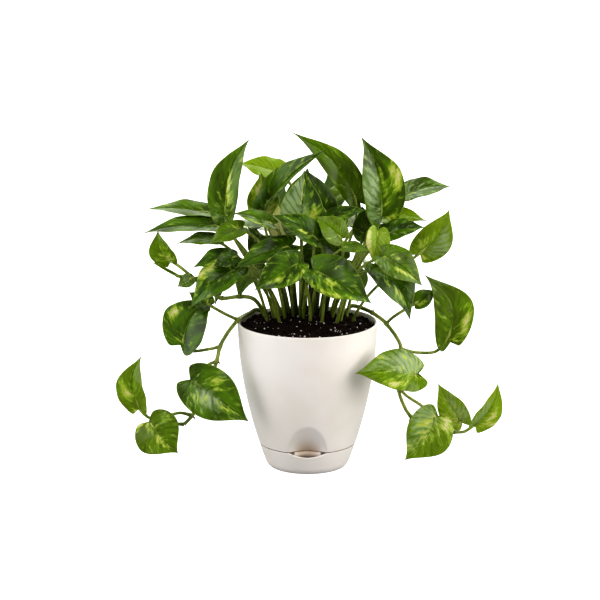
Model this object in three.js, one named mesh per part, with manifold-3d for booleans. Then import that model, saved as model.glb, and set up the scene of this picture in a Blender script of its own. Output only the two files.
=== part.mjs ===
// Potted pothos: a bushy golden pothos in a two-piece self-watering pot.
// Millimetres, +Z up. The origin is the centre of the water tray's underside, and the pot's watering
// alcove faces -Y, the front.

import * as THREE from 'three';
import { mergeVertices } from 'three/addons/utils/BufferGeometryUtils.js';
import Module from 'manifold-3d';

const wasm = await Module();
wasm.setup();

// Pot and tray
const POT_HEIGHT = 170;
const RIM_RADIUS = 80;
const FOOT_RADIUS = 46; // where the wall's curve would meet the ground
const WALL_CURVE = 1.9; // how fast the wall's flare dies out towards the rim
const WALL = 2.4;
const RIM_ROUNDING = 0.8;
const SEAM_HEIGHT = 28.3; // where the pot stands on the tray
const TOUCH_GAP = 0.3;
const ROUND_SIDES = 32;

const FLOOR_UNDERSIDE = 34;
const FLOOR_TOP = 36.6;
const COLLAR_RADIUS = 49.4; // locates the pot inside the tray
const COLLAR_BOTTOM = 20;
const WICK_TOP_RADIUS = 18;
const WICK_FOOT_RADIUS = 16;
const WICK_BOTTOM = 6;
const WICK_SEAT = 0.4; // how far the hollow of the foot opens out at the floor
const DRAIN_COUNT = 6;
const DRAIN_RADIUS = 2.6;
const DRAIN_CIRCLE = 33;

const TRAY_FLOOR = 3;
const TRAY_SOLE_RADIUS = 41;
const TRAY_CORNER = [[44.4, 1], [46.6, 3.2]]; // [radius, height] round the corner from sole to wall
const TRAY_WALL_BOTTOM = 6.5;

const ALCOVE_CENTRE = new THREE.Vector3(0, -57, 28);
const ALCOVE_SIZE = new THREE.Vector3(22.3, 15, 42); // half-axes of the hollow
const ALCOVE_SKIRT_BOTTOM = 30;
const ALCOVE_INSET = 0.2; // keeps its wall just inside the pot's own
const SCOOP_CENTRE = new THREE.Vector3(0, -54, 33);
const SCOOP_SIZE = new THREE.Vector3(22, 10, 9);

// Soil
const SOIL_EDGE_HEIGHT = 164;
const SOIL_HEAP = { height: 18, behind: 18, across: 50, deep: 38 }; // the root ball, heaped round the stems
const SOIL_CLEARANCE = 0.35;
const SOIL_RINGS = 5;
const CLOD_HEIGHT = 1.1;
const CLOD_WAVES = [0.31, 0.27, 0.13, 0.19]; // radians per millimetre

// Leaves
const BLADE_THICKNESS = 0.8;
const BLADE_ROWS = [0.06, 0.21, 0.45, 0.74]; // between the leaf's base at 0 and its tip at 1
const BLADE_COLUMNS = [-1, -0.5, 0, 0.5, 1]; // across, from margin to margin
const LOBE = 0.17; // how far the base lobes reach behind the petiole, as a share of the length
const CUP = 0.16; // how far the margins turn back down
const PETIOLE_RADIUS = 1.5;
const STEM_RADIUS = 1.7;
const STEM_LEAN = 0.02; // how much a vine leans out of the soil, for each millimetre to its next point
const PETIOLE_SIDES = 4;
const PETIOLE_STEPS = 5;
const STEM_SIDES = 5;
const STEM_EXTRA_STEPS = 8; // besides one for each point of its route
const ROOT_DEPTH = 9;
const ROOT_SPREAD = [0.42, 0.3]; // how far out a petiole is rooted, as shares of its blade's own x and y
const ROOTS_BEHIND = 14; // how far the middle of the roots lies behind the axis
const ROOT_LIMIT = 60;
const ROOT_SPACING = 8;
const ROOT_PASSES = 60;
const GROUND_CLEARANCE = 4; // a stalk runs straight until this far above the soil
const HOLE_CLEARANCE = 1.3;
const HOLE_SIDES = 4;
const HOLE_LEAD = 6; // how far the cut for a hole starts above that point

// How a petiole bends, the lengths as shares of the way from the ground to the blade
const PETIOLE_RISE = 0.4;
const PETIOLE_BEND = 0.3;
const PETIOLE_JOIN = 0.08; // where along the midrib it meets the blade
const PETIOLE_SINK = 0.2;
const ARRIVAL = { straight: 0.7, along: 0.45, level: 0.35 };

// Stems and leaves are set out as they are seen from the front: every point is [across, up, depth]. Across
// and up are measured in the upright picture plane of an eye that looks down by EYE_TILT at the plant's
// axis, and depth is the true distance behind the axis (negative towards the eye).
const EYE_TILT = THREE.MathUtils.degToRad(13);
const EYE_DISTANCE = 2600;
const SIGHT_HEIGHT = 195; // height on the axis that the eye looks at
const SIGHT_UP = 190; // what up reads at that height

// One row for each crown leaf: the blade's base, its tip, its width, the way its upper face looks
// [x, y, z], the fold of each half in degrees, its arch along the midrib and its sweep to the side, both
// as shares of its length.
const CROWN_LEAVES = [
  [[-93, 285, -14], [-66, 375, -8], 44, [-0.4, -0.85, 0.2], 26, 0.06, -0.1],
  [[-26, 334, 38], [-80, 346, 42], 40, [0, -0.5, 0.85], 15, 0.05, 0],
  [[-50, 294, 4], [21, 362, -27], 42, [-0.6, -0.6, 0.6], 34, 0.08, 0],
  [[-50, 288, 22], [-53, 336, 14], 38, [0, -0.9, 0.4], 15, 0.04, 0],
  [[-8, 268, -42], [-4, 339, -30], 54, [0, -0.95, 0.3], 28, 0.05, 0],
  [[23, 286, -14], [-2, 340, -6], 36, [0.3, -0.8, 0.5], 20, 0.08, -0.05],
  [[56, 302, 10], [-18, 382, -2], 37, [-0.4, -0.65, 0.6], 26, 0.12, 0.1],
  [[46, 318, 22], [25, 298, 0], 28, [-0.1, -0.5, 0.85], 18, 0.08, 0],
  [[84, 286, -8], [61, 377, -6], 59, [0.3, -0.9, 0.2], 28, 0.05, 0.08],
  [[108, 309, 32], [165, 319, 42], 38, [0.1, -0.45, 0.9], 18, 0.1, 0],
  [[84, 283, 16], [137, 280, 18], 30, [0.1, -0.5, 0.85], 16, 0.12, 0],
  [[89, 264, -22], [134, 273, -32], 32, [0.2, -0.6, 0.75], 16, 0.12, 0],
  [[80, 266, 10], [115, 273, 14], 20, [0.1, -0.6, 0.75], 14, 0.12, 0],
  [[128, 244, -10], [162, 294, -4], 42, [0.2, -0.9, 0.35], 18, 0.06, 0.1],
  [[-109, 289, 16], [-183, 294, 26], 34, [-0.1, -0.35, 0.93], 18, 0.05, 0],
  [[-98, 274, 0], [-189, 266, -8], 36, [-0.1, -0.4, 0.9], 18, 0.07, 0],
  [[-74, 272, -42], [-113, 254, -48], 28, [-0.2, -0.7, 0.7], 18, 0.1, 0],
  [[-100, 257, -14], [-150, 254, -6], 26, [0, -0.4, 0.9], 16, 0.1, 0],
  [[-84, 237, -26], [-131, 227, -28], 31, [-0.2, -0.6, 0.75], 16, 0.14, 0],
  [[-79, 226, -44], [-134, 181, -62], 44, [-0.3, -0.8, 0.5], 22, 0.12, 0.04],
  [[-18, 252, -54], [-84, 226, -70], 33, [-0.1, -0.75, 0.65], 20, 0.1, 0],
  [[-40, 276, -48], [-86, 289, -50], 28, [0, -0.45, 0.9], 16, 0.08, 0],
  [[-9, 233, -82], [-61, 201, -91], 42, [-0.1, -0.85, 0.45], 20, 0.1, 0],
  [[12, 258, -66], [-41, 287, -62], 34, [0.1, -0.7, 0.75], 20, 0.12, 0],
  [[38, 260, -62], [9, 286, -60], 34, [0.1, -0.75, 0.6], 18, 0.1, 0],
  [[41, 250, -80], [70, 246, -88], 18, [0, -0.6, 0.8], 14, 0.1, 0],
  [[20, 279, -34], [67, 293, -30], 24, [0.1, -0.6, 0.75], 16, 0.12, 0],
  [[80, 270, -52], [74, 232, -63], 32, [0.3, -0.85, 0.4], 26, 0.08, 0],
  [[6, 224, -86], [73, 186, -98], 56, [0.1, -0.72, 0.65], 22, 0.08, 0],
  [[75, 229, -44], [117, 167, -62], 52, [0.4, -0.75, 0.45], 24, 0.1, -0.1],
  [[84, 241, -80], [131, 206, -86], 42, [0.3, -0.75, 0.55], 18, 0.12, 0],
  [[-36, 254, -6], [-70, 240, -12], 28, [-0.2, -0.7, 0.7], 18, 0.12, 0],
  [[8, 250, 14], [-10, 214, 6], 28, [0.1, -0.85, 0.5], 18, 0.1, 0],
  [[68, 262, 4], [62, 298, 0], 34, [0, -0.8, 0.6], 18, 0.1, 0],
  [[-82, 240, -54], [-108, 229, -62], 21, [-0.1, -0.85, 0.5], 16, 0.06, 0],
  [[-51, 240, 16], [-68, 274, 17], 28, [0, -0.8, 0.6], 18, 0.1, 0],
  [[40, 236, -10], [6, 262, -14], 34, [0, -0.85, 0.5], 18, 0.1, 0],
  [[-32, 264, -20], [-34, 300, -18], 22, [0, -0.95, 0.3], 12, 0.04, 0],
];

// The side away from the front, in tiers: how many leaves, the sector they fill in degrees counted from +X
// over the back, the distance from the axis and the height of their bases and of their tips, their width,
// how much their faces look up rather than out, and how far every other one stands out and down from its
// neighbours.
const BACK_TIERS = [
  { count: 5, sector: [16, 164], base: [78, 228], tip: [128, 176], width: 44, rise: 0.6, stagger: 10 },
  { count: 5, sector: [22, 158], base: [68, 272], tip: [130, 262], width: 42, rise: 1, stagger: 12 },
  { count: 3, sector: [40, 140], base: [52, 296], tip: [74, 344], width: 44, rise: 0.2, stagger: 10 },
];
const BACK_LEAF = { fold: 18, arch: 0.1 };
const SEED = 7;

// Trailing stems. Each has the points its stem runs through, from the soil on, and its leaves: how far
// along the route, in points, the petiole springs, the points the petiole runs through, and the blade as
// in a row above.
const LEFT_VINE = {
  name: 'left_trailing_vine',
  route: [[-50, 180, 48], [-58, 179, 44], [-66, 175, 33], [-73.7, 171.3, 17], [-79.4, 167.3, -5],
    [-87.4, 158, -16], [-93, 150, -24], [-100, 137, -32], [-104, 120, -35], [-111, 100, -36],
    [-122, 76, -38], [-132, 58, -40], [-141, 48, -41]],
  leaves: [
    { from: 7, petiole: [[-112, 134, -34], [-134, 132, -34]],
      blade: [[-143, 138, -34], [-107, 192, -20], 62, [-0.4, -0.85, 0.15], 26, 0.06, -0.14] },
    { from: 8, petiole: [[-116, 114, -46]],
      blade: [[-134, 99, -56], [-67, 51, -66], 60, [0, -0.95, 0.35], 14, 0.07, 0] },
    { from: 11, petiole: [[-146, 61, -40], [-164, 57, -40], [-182, 56, -40]],
      blade: [[-191, 66, -40], [-190, 126, -38], 42, [-0.45, -0.85, 0.1], 24, 0.06, -0.16] },
    { from: 12, petiole: [[-158, 49, -42], [-172, 51, -46]],
      blade: [[-181, 51, -50], [-148, 15, -56], 56, [0, -0.9, 0.4], 14, 0.1, 0.05] },
    { from: 4, petiole: [[-96, 175, -18]],
      blade: [[-112, 184, -26], [-136, 199, -30], 24, [-0.3, -0.8, 0.5], 16, 0.08, 0] },
  ],
};
const RIGHT_VINE = {
  name: 'right_trailing_vine',
  route: [[44, 178, 42], [50, 183, 43], [59, 182, 42], [67, 179, 39], [74, 175.6, 31], [83, 169.4, 18],
    [90, 163, 6], [102, 147, -6], [107, 134, -12], [107, 112, -20], [104, 90, -22], [109, 72, -24],
    [119, 56, -26], [142, 41, -27], [168, 39, -26]],
  leaves: [
    { from: 8, petiole: [[126, 130, -12], [148, 132, -13]],
      blade: [[159, 143, -14], [133, 219, -6], 50, [0.1, -0.95, 0.2], 16, 0.14, 0.22] },
    { from: 9, petiole: [[116, 112, -34]],
      blade: [[126, 105, -46], [54, 106, -70], 56, [0, -0.75, 0.65], 16, 0.1, 0] },
    { from: 10, petiole: [[114, 80, -30], [132, 68, -36]],
      blade: [[148, 58, -42], [111, 7, -50], 56, [0, -0.95, 0.3], 16, 0.08, -0.08] },
    { from: 13, petiole: [[164, 47, -32]],
      blade: [[177, 50, -34], [149, 95, -28], 36, [-0.5, -0.7, 0.4], 22, 0.08, 0] },
    { from: 14, petiole: [[180, 40, -24]],
      blade: [[191, 47, -24], [218, 96, -20], 34, [0.5, -0.8, 0.2], 26, 0.06, 0.1] },
    { from: 6, petiole: [[100, 172, 0]],
      blade: [[123, 186, -8], [147, 201, -4], 22, [0.2, -0.8, 0.5], 16, 0.08, 0] },
  ],
};
const UPPER_VINE = {
  name: 'upper_left_shoot',
  route: [[-46, 178, 4], [-60, 190, -4], [-77, 194, -14], [-98, 192, -22], [-110, 199, -25],
    [-134, 218, -28]],
  leaves: [
    { from: 5, petiole: [[-146, 228, -28]],
      blade: [[-156, 234, -28], [-171, 270, -26], 30, [-0.4, -0.85, 0.3], 20, 0.06, -0.16] },
    { from: 5, petiole: [[-140, 217, -32]],
      blade: [[-146, 216, -34], [-181, 235, -36], 7, [0, -0.9, 0.4], 60, 0, 0] },
    { from: 4, petiole: [[-122, 214, -30]],
      blade: [[-132, 215, -34], [-149, 205, -36], 17, [0, -0.85, 0.5], 14, 0.1, 0] },
  ],
};

const COLOURS = {
  plastic: { color: 0xe4ded4, roughness: 0.55 },
  soil: { color: 0x1d1410, roughness: 1 },
  leaf: { color: 0x46700f, roughness: 0.35 },
};

// ---- Solids ----

// A closed geometry as a solid, with its outside outwards.
function toSolid(geometry) {
  for (const extra of ['normal', 'uv']) geometry.deleteAttribute(extra);
  const merged = mergeVertices(geometry, 1e-4);
  const corners = merged.index.array;
  const triVerts = [];
  for (let i = 0; i < corners.length; i += 3) {
    const [a, b, c] = corners.subarray(i, i + 3);
    if (a !== b && b !== c && c !== a) triVerts.push(a, b, c);
  }
  return new wasm.Manifold(new wasm.Mesh({
    numProp: 3,
    vertProperties: Float32Array.from(merged.attributes.position.array),
    triVerts: Uint32Array.from(triVerts),
  }));
}

function toGeometry(solid) {
  const { vertProperties, triVerts } = solid.getMesh();
  const geometry = new THREE.BufferGeometry();
  geometry.setAttribute('position', new THREE.BufferAttribute(vertProperties, 3));
  geometry.setIndex(new THREE.BufferAttribute(triVerts, 1));
  geometry.computeVertexNormals();
  return geometry;
}

// A turned solid. The profile lists [radius, height] up the outside and back down the inside.
function turned(profile, sides = ROUND_SIDES) {
  const points = profile.map(([radius, height]) => new THREE.Vector2(radius, height));
  return toSolid(new THREE.LatheGeometry(points, sides).rotateX(Math.PI / 2));
}

function ellipsoid(centre, size, sides = 20) {
  const ball = new THREE.SphereGeometry(1, sides, sides / 2).rotateX(Math.PI / 2);
  return toSolid(ball.scale(size.x, size.y, size.z).translate(centre.x, centre.y, centre.z));
}

function peg(radius, from, to, sides) {
  const run = new THREE.Vector3().subVectors(to, from);
  const length = run.length();
  const turn = new THREE.Quaternion().setFromUnitVectors(new THREE.Vector3(0, 1, 0), run.normalize());
  const rod = new THREE.CylinderGeometry(radius, radius, length, sides).translate(0, length / 2, 0);
  return toSolid(rod.applyQuaternion(turn).translate(from.x, from.y, from.z));
}

// ---- Pot, tray and soil ----

function wallRadius(height) {
  return RIM_RADIUS - (RIM_RADIUS - FOOT_RADIUS) * (1 - height / POT_HEIGHT) ** WALL_CURVE;
}

// Points up the wall at evenly spaced heights, set in from its outside.
function wallPoints(low, high, inset, steps) {
  return Array.from({ length: steps + 1 }, (_, i) => {
    const height = low + ((high - low) * i) / steps;
    return [wallRadius(height) - inset, height];
  });
}

// Where the alcove's wall stands, this much fatter than the hollow itself.
function alcove(extra) {
  return ellipsoid(ALCOVE_CENTRE, ALCOVE_SIZE.clone().addScalar(extra));
}

function makePot() {
  const shell = turned([
    [0, WICK_BOTTOM], [WICK_FOOT_RADIUS, WICK_BOTTOM], [WICK_TOP_RADIUS, FLOOR_UNDERSIDE],
    [COLLAR_RADIUS - WALL, FLOOR_UNDERSIDE], [COLLAR_RADIUS - WALL, COLLAR_BOTTOM],
    [COLLAR_RADIUS, COLLAR_BOTTOM], [COLLAR_RADIUS, SEAM_HEIGHT],
    ...wallPoints(SEAM_HEIGHT, POT_HEIGHT - RIM_ROUNDING, 0, 7), [RIM_RADIUS - RIM_ROUNDING, POT_HEIGHT],
    [RIM_RADIUS - WALL + RIM_ROUNDING, POT_HEIGHT],
    ...wallPoints(FLOOR_TOP, POT_HEIGHT - RIM_ROUNDING, WALL, 5).reverse(),
    [WICK_FOOT_RADIUS + WICK_SEAT, FLOOR_TOP], [WICK_FOOT_RADIUS - WALL, WICK_BOTTOM + WALL],
    [0, WICK_BOTTOM + WALL],
  ]);
  const top = POT_HEIGHT / 2;
  const inside = turned([
    [0, ALCOVE_SKIRT_BOTTOM], ...wallPoints(ALCOVE_SKIRT_BOTTOM, top, ALCOVE_INSET, 4), [0, top],
  ]);
  let pot = shell.add(alcove(WALL).intersect(inside)).subtract(alcove(0));
  for (let i = 0; i < DRAIN_COUNT; i += 1) {
    const angle = ((i + 0.5) / DRAIN_COUNT) * 2 * Math.PI;
    const low = new THREE.Vector3(Math.cos(angle), Math.sin(angle), 0).multiplyScalar(DRAIN_CIRCLE);
    low.z = FLOOR_UNDERSIDE - 1;
    const high = low.clone().setZ(FLOOR_TOP + 1);
    pot = pot.subtract(peg(DRAIN_RADIUS, low, high, 6));
  }
  return pot;
}

function makeTray() {
  const top = SEAM_HEIGHT - TOUCH_GAP;
  const tray = turned([
    [0, 0], [TRAY_SOLE_RADIUS, 0], ...TRAY_CORNER,
    ...wallPoints(TRAY_WALL_BOTTOM, top, 0, 4), ...wallPoints(TRAY_WALL_BOTTOM, top, WALL, 3).reverse(),
    [TRAY_SOLE_RADIUS, TRAY_FLOOR], [0, TRAY_FLOOR],
  ]);
  return tray.subtract(ellipsoid(SCOOP_CENTRE, SCOOP_SIZE));
}

// The height of the soil's surface: heaped in the middle and cloddy all over.
function soilHeight(x, y) {
  const reach = Math.hypot(x, y) / RIM_RADIUS;
  const { height, behind, across, deep } = SOIL_HEAP;
  const heap = height * (1 - reach * reach) * Math.exp(-((x / across) ** 2) - ((y - behind) / deep) ** 2);
  const [a, b, c, d] = CLOD_WAVES;
  const clods = Math.sin(x * a + 1) * Math.sin(y * b + 2) + Math.sin(x * c - y * d);
  return SOIL_EDGE_HEIGHT + heap + CLOD_HEIGHT * clods;
}

function makeSoil(roots) {
  const inset = WALL + SOIL_CLEARANCE;
  const edge = wallRadius(SOIL_EDGE_HEIGHT) - inset;
  const top = Array.from({ length: SOIL_RINGS }, (_, i) => {
    const share = 1 - (i + 1) / SOIL_RINGS;
    return [edge * share, SOIL_EDGE_HEIGHT];
  });
  const geometry = new THREE.LatheGeometry([
    [0, WICK_BOTTOM + WALL + SOIL_CLEARANCE],
    [WICK_FOOT_RADIUS - WALL - SOIL_CLEARANCE, WICK_BOTTOM + WALL + SOIL_CLEARANCE],
    [WICK_FOOT_RADIUS + WICK_SEAT - SOIL_CLEARANCE, FLOOR_TOP + SOIL_CLEARANCE],
    ...wallPoints(FLOOR_TOP + SOIL_CLEARANCE, SOIL_EDGE_HEIGHT, inset, 5), ...top,
  ].map(([radius, height]) => new THREE.Vector2(radius, height)), ROUND_SIDES).rotateX(Math.PI / 2);
  const place = geometry.attributes.position;
  for (let i = 0; i < place.count; i += 1) {
    if (place.getZ(i) > SOIL_EDGE_HEIGHT - 0.01) place.setZ(i, soilHeight(place.getX(i), place.getY(i)));
  }
  let soil = toSolid(geometry).subtract(alcove(WALL + SOIL_CLEARANCE));
  for (const { foot, ground, radius } of roots) {
    const down = new THREE.Vector3().subVectors(foot, ground).normalize();
    const bottom = foot.clone().addScaledVector(down, HOLE_CLEARANCE);
    const above = ground.clone().addScaledVector(down, -HOLE_LEAD);
    soil = soil.subtract(peg(radius + HOLE_CLEARANCE, bottom, above, HOLE_SIDES));
  }
  return soil;
}

// ---- Leaves ----

// A point [across, up, depth] as it is seen from the front, in the part's own frame.
function sighted([across, up, depth]) {
  const rise = up - SIGHT_UP;
  const sin = Math.sin(EYE_TILT);
  const cos = Math.cos(EYE_TILT);
  const away = (depth - rise * sin) / (cos + (rise * sin) / EYE_DISTANCE);
  const spread = 1 + away / EYE_DISTANCE;
  return new THREE.Vector3(across * spread, depth, SIGHT_HEIGHT + spread * rise * cos - away * sin);
}

// The half width of a leaf at u, from 0 at its base to 1 at its drawn-out tip, as a share of its widest.
function outline(u) {
  return (Math.sqrt(u) * (1 - u) * (1 - 0.2 * u ** 4)) / 0.384;
}

function makeLeaf(base, tip, [width, face, fold, arch, sweep]) {
  const along = new THREE.Vector3().subVectors(tip, base);
  const length = along.length();
  along.normalize();
  const up = new THREE.Vector3(...face);
  up.addScaledVector(along, -along.dot(up)).normalize();
  const side = new THREE.Vector3().crossVectors(along, up);
  const turn = THREE.MathUtils.degToRad(fold);
  const point = (u, v) => {
    const half = (width / 2) * outline(u) * Math.abs(v);
    const run = length * (u - LOBE * v * v * (1 - u) ** 4);
    const bow = Math.sin(Math.PI * u);
    const lift = half * (Math.sin(turn) - CUP * Math.abs(v)) + arch * length * bow;
    const out = Math.sign(v) * half * Math.cos(turn) + sweep * length * bow;
    return base.clone().addScaledVector(along, run).addScaledVector(up, lift).addScaledVector(side, out);
  };
  return { base, along, up, length, point };
}

// The blade as a thin closed solid: one sheet of triangles, repeated on both faces, and its edge.
function bladeSolid({ point }) {
  const columns = BLADE_COLUMNS.length;
  const middle = BLADE_ROWS.flatMap((u) => BLADE_COLUMNS.map((v) => point(u, v)));
  const sheet = [point(0, 0), ...middle, point(1, 0)];
  const tip = sheet.length - 1;
  const at = (row, column) => 1 + row * columns + column;
  const last = BLADE_ROWS.length - 1;
  const faces = [];
  for (let c = 0; c < columns - 1; c += 1) {
    faces.push([0, at(0, c), at(0, c + 1)], [tip, at(last, c + 1), at(last, c)]);
    for (let r = 0; r < last; r += 1) {
      const [a, b, d, e] = [at(r, c), at(r, c + 1), at(r + 1, c), at(r + 1, c + 1)];
      faces.push(...(c < columns / 2 - 1 ? [[a, d, e], [a, e, b]] : [[a, d, b], [b, d, e]]));
    }
  }
  const rows = [...BLADE_ROWS.keys()];
  const rim = [0, ...rows.map((r) => at(r, 0)), tip, ...rows.reverse().map((r) => at(r, columns - 1))];

  const skin = new THREE.BufferGeometry().setFromPoints(sheet);
  skin.setIndex(faces.flat());
  skin.computeVertexNormals();
  const normals = skin.attributes.normal;
  const raised = (distance) => sheet.map((place, i) => {
    const normal = new THREE.Vector3().fromBufferAttribute(normals, i);
    return place.clone().addScaledVector(normal, distance);
  });
  const count = sheet.length;
  const both = new THREE.BufferGeometry().setFromPoints([
    ...raised(BLADE_THICKNESS / 2), ...raised(-BLADE_THICKNESS / 2),
  ]);
  const walls = rim.flatMap((i, k) => {
    const next = rim[(k + 1) % rim.length];
    return [[i, i + count, next + count], [i, next + count, next]];
  });
  both.setIndex([...faces, ...faces.map(([a, b, c]) => [a + count, c + count, b + count]), ...walls].flat());
  return toSolid(both);
}

function stalk(points, radius, sides, steps) {
  const section = new THREE.Shape(Array.from({ length: sides }, (_, i) => {
    const angle = (i / sides) * 2 * Math.PI;
    return new THREE.Vector2(radius * Math.cos(angle), radius * Math.sin(angle));
  }));
  const extrudePath = new THREE.CatmullRomCurve3(points);
  return toSolid(new THREE.ExtrudeGeometry(section, { steps, extrudePath, curveSegments: 1 }));
}

// Where a stalk stands in the soil: the end of its root, and a point just clear of the ground.
function rootedAt(x, y, lean, radius) {
  const rise = new THREE.Vector3(lean.x, lean.y, 1).normalize();
  const ground = new THREE.Vector3(x, y, soilHeight(x, y) + GROUND_CLEARANCE);
  const foot = ground.clone().addScaledVector(rise, -(ROOT_DEPTH + GROUND_CLEARANCE));
  return { ground, foot, rise, radius };
}

// Root places under the blades' bases, drawn in towards the middle and pushed apart until they have room.
function rootPlaces(bases) {
  const places = bases.map((base) => {
    const place = new THREE.Vector2(base.x * ROOT_SPREAD[0], base.y * ROOT_SPREAD[1] + ROOTS_BEHIND);
    return place.clampLength(ROOT_SPACING / 2, ROOT_LIMIT);
  });
  for (let pass = 0; pass < ROOT_PASSES; pass += 1) {
    for (let i = 0; i < places.length; i += 1) {
      for (let j = 0; j < i; j += 1) {
        const apart = new THREE.Vector2().subVectors(places[i], places[j]);
        const short = ROOT_SPACING - apart.length();
        if (short > 0) {
          apart.setLength(short / 2);
          places[i].add(apart).clampLength(0, ROOT_LIMIT);
          places[j].sub(apart).clampLength(0, ROOT_LIMIT);
        }
      }
    }
  }
  return places;
}

// Where a petiole meets its blade, on the midrib just past the base.
function petioleEnd({ up, point }) {
  return point(PETIOLE_JOIN, 0).addScaledVector(up, -PETIOLE_SINK);
}

// A crown leaf: its petiole rises out of the soil and bends over into the blade.
function crownLeaf(leaf, place) {
  const { base, along } = leaf;
  const lean = new THREE.Vector2(base.x, base.y).sub(place).divideScalar(2 * (base.z - SOIL_EDGE_HEIGHT));
  const root = rootedAt(place.x, place.y, lean, PETIOLE_RADIUS);
  const { foot, ground, rise } = root;
  const end = petioleEnd(leaf);
  const reach = end.distanceTo(ground);
  const level = new THREE.Vector3(along.x, along.y, 0);
  const arrival = new THREE.Vector3().subVectors(end, ground).multiplyScalar(ARRIVAL.straight / reach);
  arrival.addScaledVector(along, ARRIVAL.along).addScaledVector(level, ARRIVAL.level).normalize();
  const risen = ground.clone().addScaledVector(rise, reach * PETIOLE_RISE);
  const bent = end.clone().addScaledVector(arrival, -reach * PETIOLE_BEND);
  const bend = new THREE.CubicBezierCurve3(ground, risen, bent, end);
  const run = [foot, ...bend.getPoints(PETIOLE_STEPS)];
  const petiole = stalk(run, PETIOLE_RADIUS, PETIOLE_SIDES, PETIOLE_STEPS);
  return { solid: bladeSolid(leaf).add(petiole), root };
}

function vine({ route, leaves }) {
  const points = route.map(sighted);
  const start = points[0];
  const lean = new THREE.Vector2(points[1].x - start.x, points[1].y - start.y).multiplyScalar(STEM_LEAN);
  const root = rootedAt(start.x, start.y, lean, STEM_RADIUS);
  const steps = route.length + STEM_EXTRA_STEPS;
  let solid = stalk([root.foot, root.ground, ...points.slice(1)], STEM_RADIUS, STEM_SIDES, steps);
  for (const { from, petiole, blade: [base, tip, ...shape] } of leaves) {
    const leaf = makeLeaf(sighted(base), sighted(tip), shape);
    const run = [points[from], ...petiole.map(sighted), petioleEnd(leaf)];
    solid = solid.add(stalk(run, PETIOLE_RADIUS, PETIOLE_SIDES, run.length + 1)).add(bladeSolid(leaf));
  }
  return { solid, root };
}

function frontLeaves() {
  return CROWN_LEAVES.map(([base, tip, ...shape]) => makeLeaf(sighted(base), sighted(tip), shape));
}

// Leaves round the back, tier by tier, each swung and stretched a little by a seeded draw.
function backLeaves() {
  let state = SEED;
  const draw = () => {
    state = (state * 16807) % 2147483647;
    return state / 2147483647 - 0.5;
  };
  const around = (angle, radius, height) => (
    new THREE.Vector3(radius * Math.cos(angle), radius * Math.sin(angle), height));
  const leaf = ({ count, sector: [from, to], base, tip, width, rise, stagger }, i) => {
    const angle = THREE.MathUtils.degToRad(from + ((to - from) * (i + 0.5 + 0.3 * draw())) / count);
    const swing = 0.35 * draw();
    const shift = i % 2 ? stagger : 0;
    const start = around(angle, base[0] + shift + 4 * draw(), base[1] - shift + 6 * draw());
    const end = around(angle + swing, tip[0] + shift / 2 + 10 * draw(), tip[1] - shift + 12 * draw());
    const face = [Math.cos(angle), Math.sin(angle), rise];
    const { fold, arch } = BACK_LEAF;
    return makeLeaf(start, end, [width + 8 * draw(), face, fold, arch, 0.08 * draw()]);
  };
  return BACK_TIERS.flatMap((tier) => Array.from({ length: tier.count }, (_, i) => leaf(tier, i)));
}

// ---- The plant ----

const plant = new THREE.Group();

function addPiece(name, solid, look) {
  const piece = new THREE.Mesh(toGeometry(solid), new THREE.MeshStandardMaterial({ ...look, metalness: 0 }));
  piece.name = name;
  plant.add(piece);
}

const leaves = [...frontLeaves(), ...backLeaves()];
const places = rootPlaces(leaves.map(({ base }) => base));
const crown = leaves.map((leaf, i) => crownLeaf(leaf, places[i]));
const vines = [LEFT_VINE, RIGHT_VINE, UPPER_VINE].map((shape) => ({ name: shape.name, ...vine(shape) }));

addPiece('planter_pot', makePot(), COLOURS.plastic);
addPiece('water_tray', makeTray(), COLOURS.plastic);
addPiece('potting_soil', makeSoil([...crown, ...vines].map(({ root }) => root)), COLOURS.soil);
crown.forEach(({ solid }, i) => {
  const number = String(i + 1).padStart(2, '0');
  addPiece(`crown_leaf_${number}`, solid, COLOURS.leaf);
});
vines.forEach(({ name, solid }) => addPiece(name, solid, COLOURS.leaf));

export default plant;
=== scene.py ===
# Potted pothos in a two-piece self-watering pot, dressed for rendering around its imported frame.
# Metres, Z up, but millimetres in the tables of leaves and stems. The watering alcove faces -Y, the front.
import math
import random

import bmesh
import bpy
import numpy as np
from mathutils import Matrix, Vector, noise


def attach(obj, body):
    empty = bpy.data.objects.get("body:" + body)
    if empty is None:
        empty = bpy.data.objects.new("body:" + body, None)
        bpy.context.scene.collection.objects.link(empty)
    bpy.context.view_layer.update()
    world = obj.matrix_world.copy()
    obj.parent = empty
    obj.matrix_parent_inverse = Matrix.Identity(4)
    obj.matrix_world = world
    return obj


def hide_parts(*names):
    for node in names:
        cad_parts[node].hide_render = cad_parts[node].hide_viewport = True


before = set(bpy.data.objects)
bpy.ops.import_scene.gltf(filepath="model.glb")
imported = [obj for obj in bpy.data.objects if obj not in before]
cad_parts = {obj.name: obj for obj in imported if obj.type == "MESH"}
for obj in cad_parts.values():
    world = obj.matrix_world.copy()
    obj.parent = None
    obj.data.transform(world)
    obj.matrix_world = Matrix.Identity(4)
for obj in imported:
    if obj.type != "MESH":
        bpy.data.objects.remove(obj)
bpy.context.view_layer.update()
print("frame loaded:", len(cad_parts), "nodes")


def srgb(code):
    # a colour as it is picked on screen, in the renderer's linear values
    parts = [int(code[i:i + 2], 16) / 255 for i in (0, 2, 4)]
    return (*[c / 12.92 if c < 0.04045 else ((c + 0.055) / 1.055) ** 2.4 for c in parts], 1.0)


def isSocket(value):
    return isinstance(value, bpy.types.NodeSocket)


def feed(node, inputs):
    # each input from a socket, from a node's first output or from a plain value
    for key, value in inputs.items():
        if isinstance(value, bpy.types.Node):
            value = value.outputs[0]
        if isSocket(value):
            node.id_data.links.new(value, node.inputs[key])
        else:
            node.inputs[key].default_value = value
    return node


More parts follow.
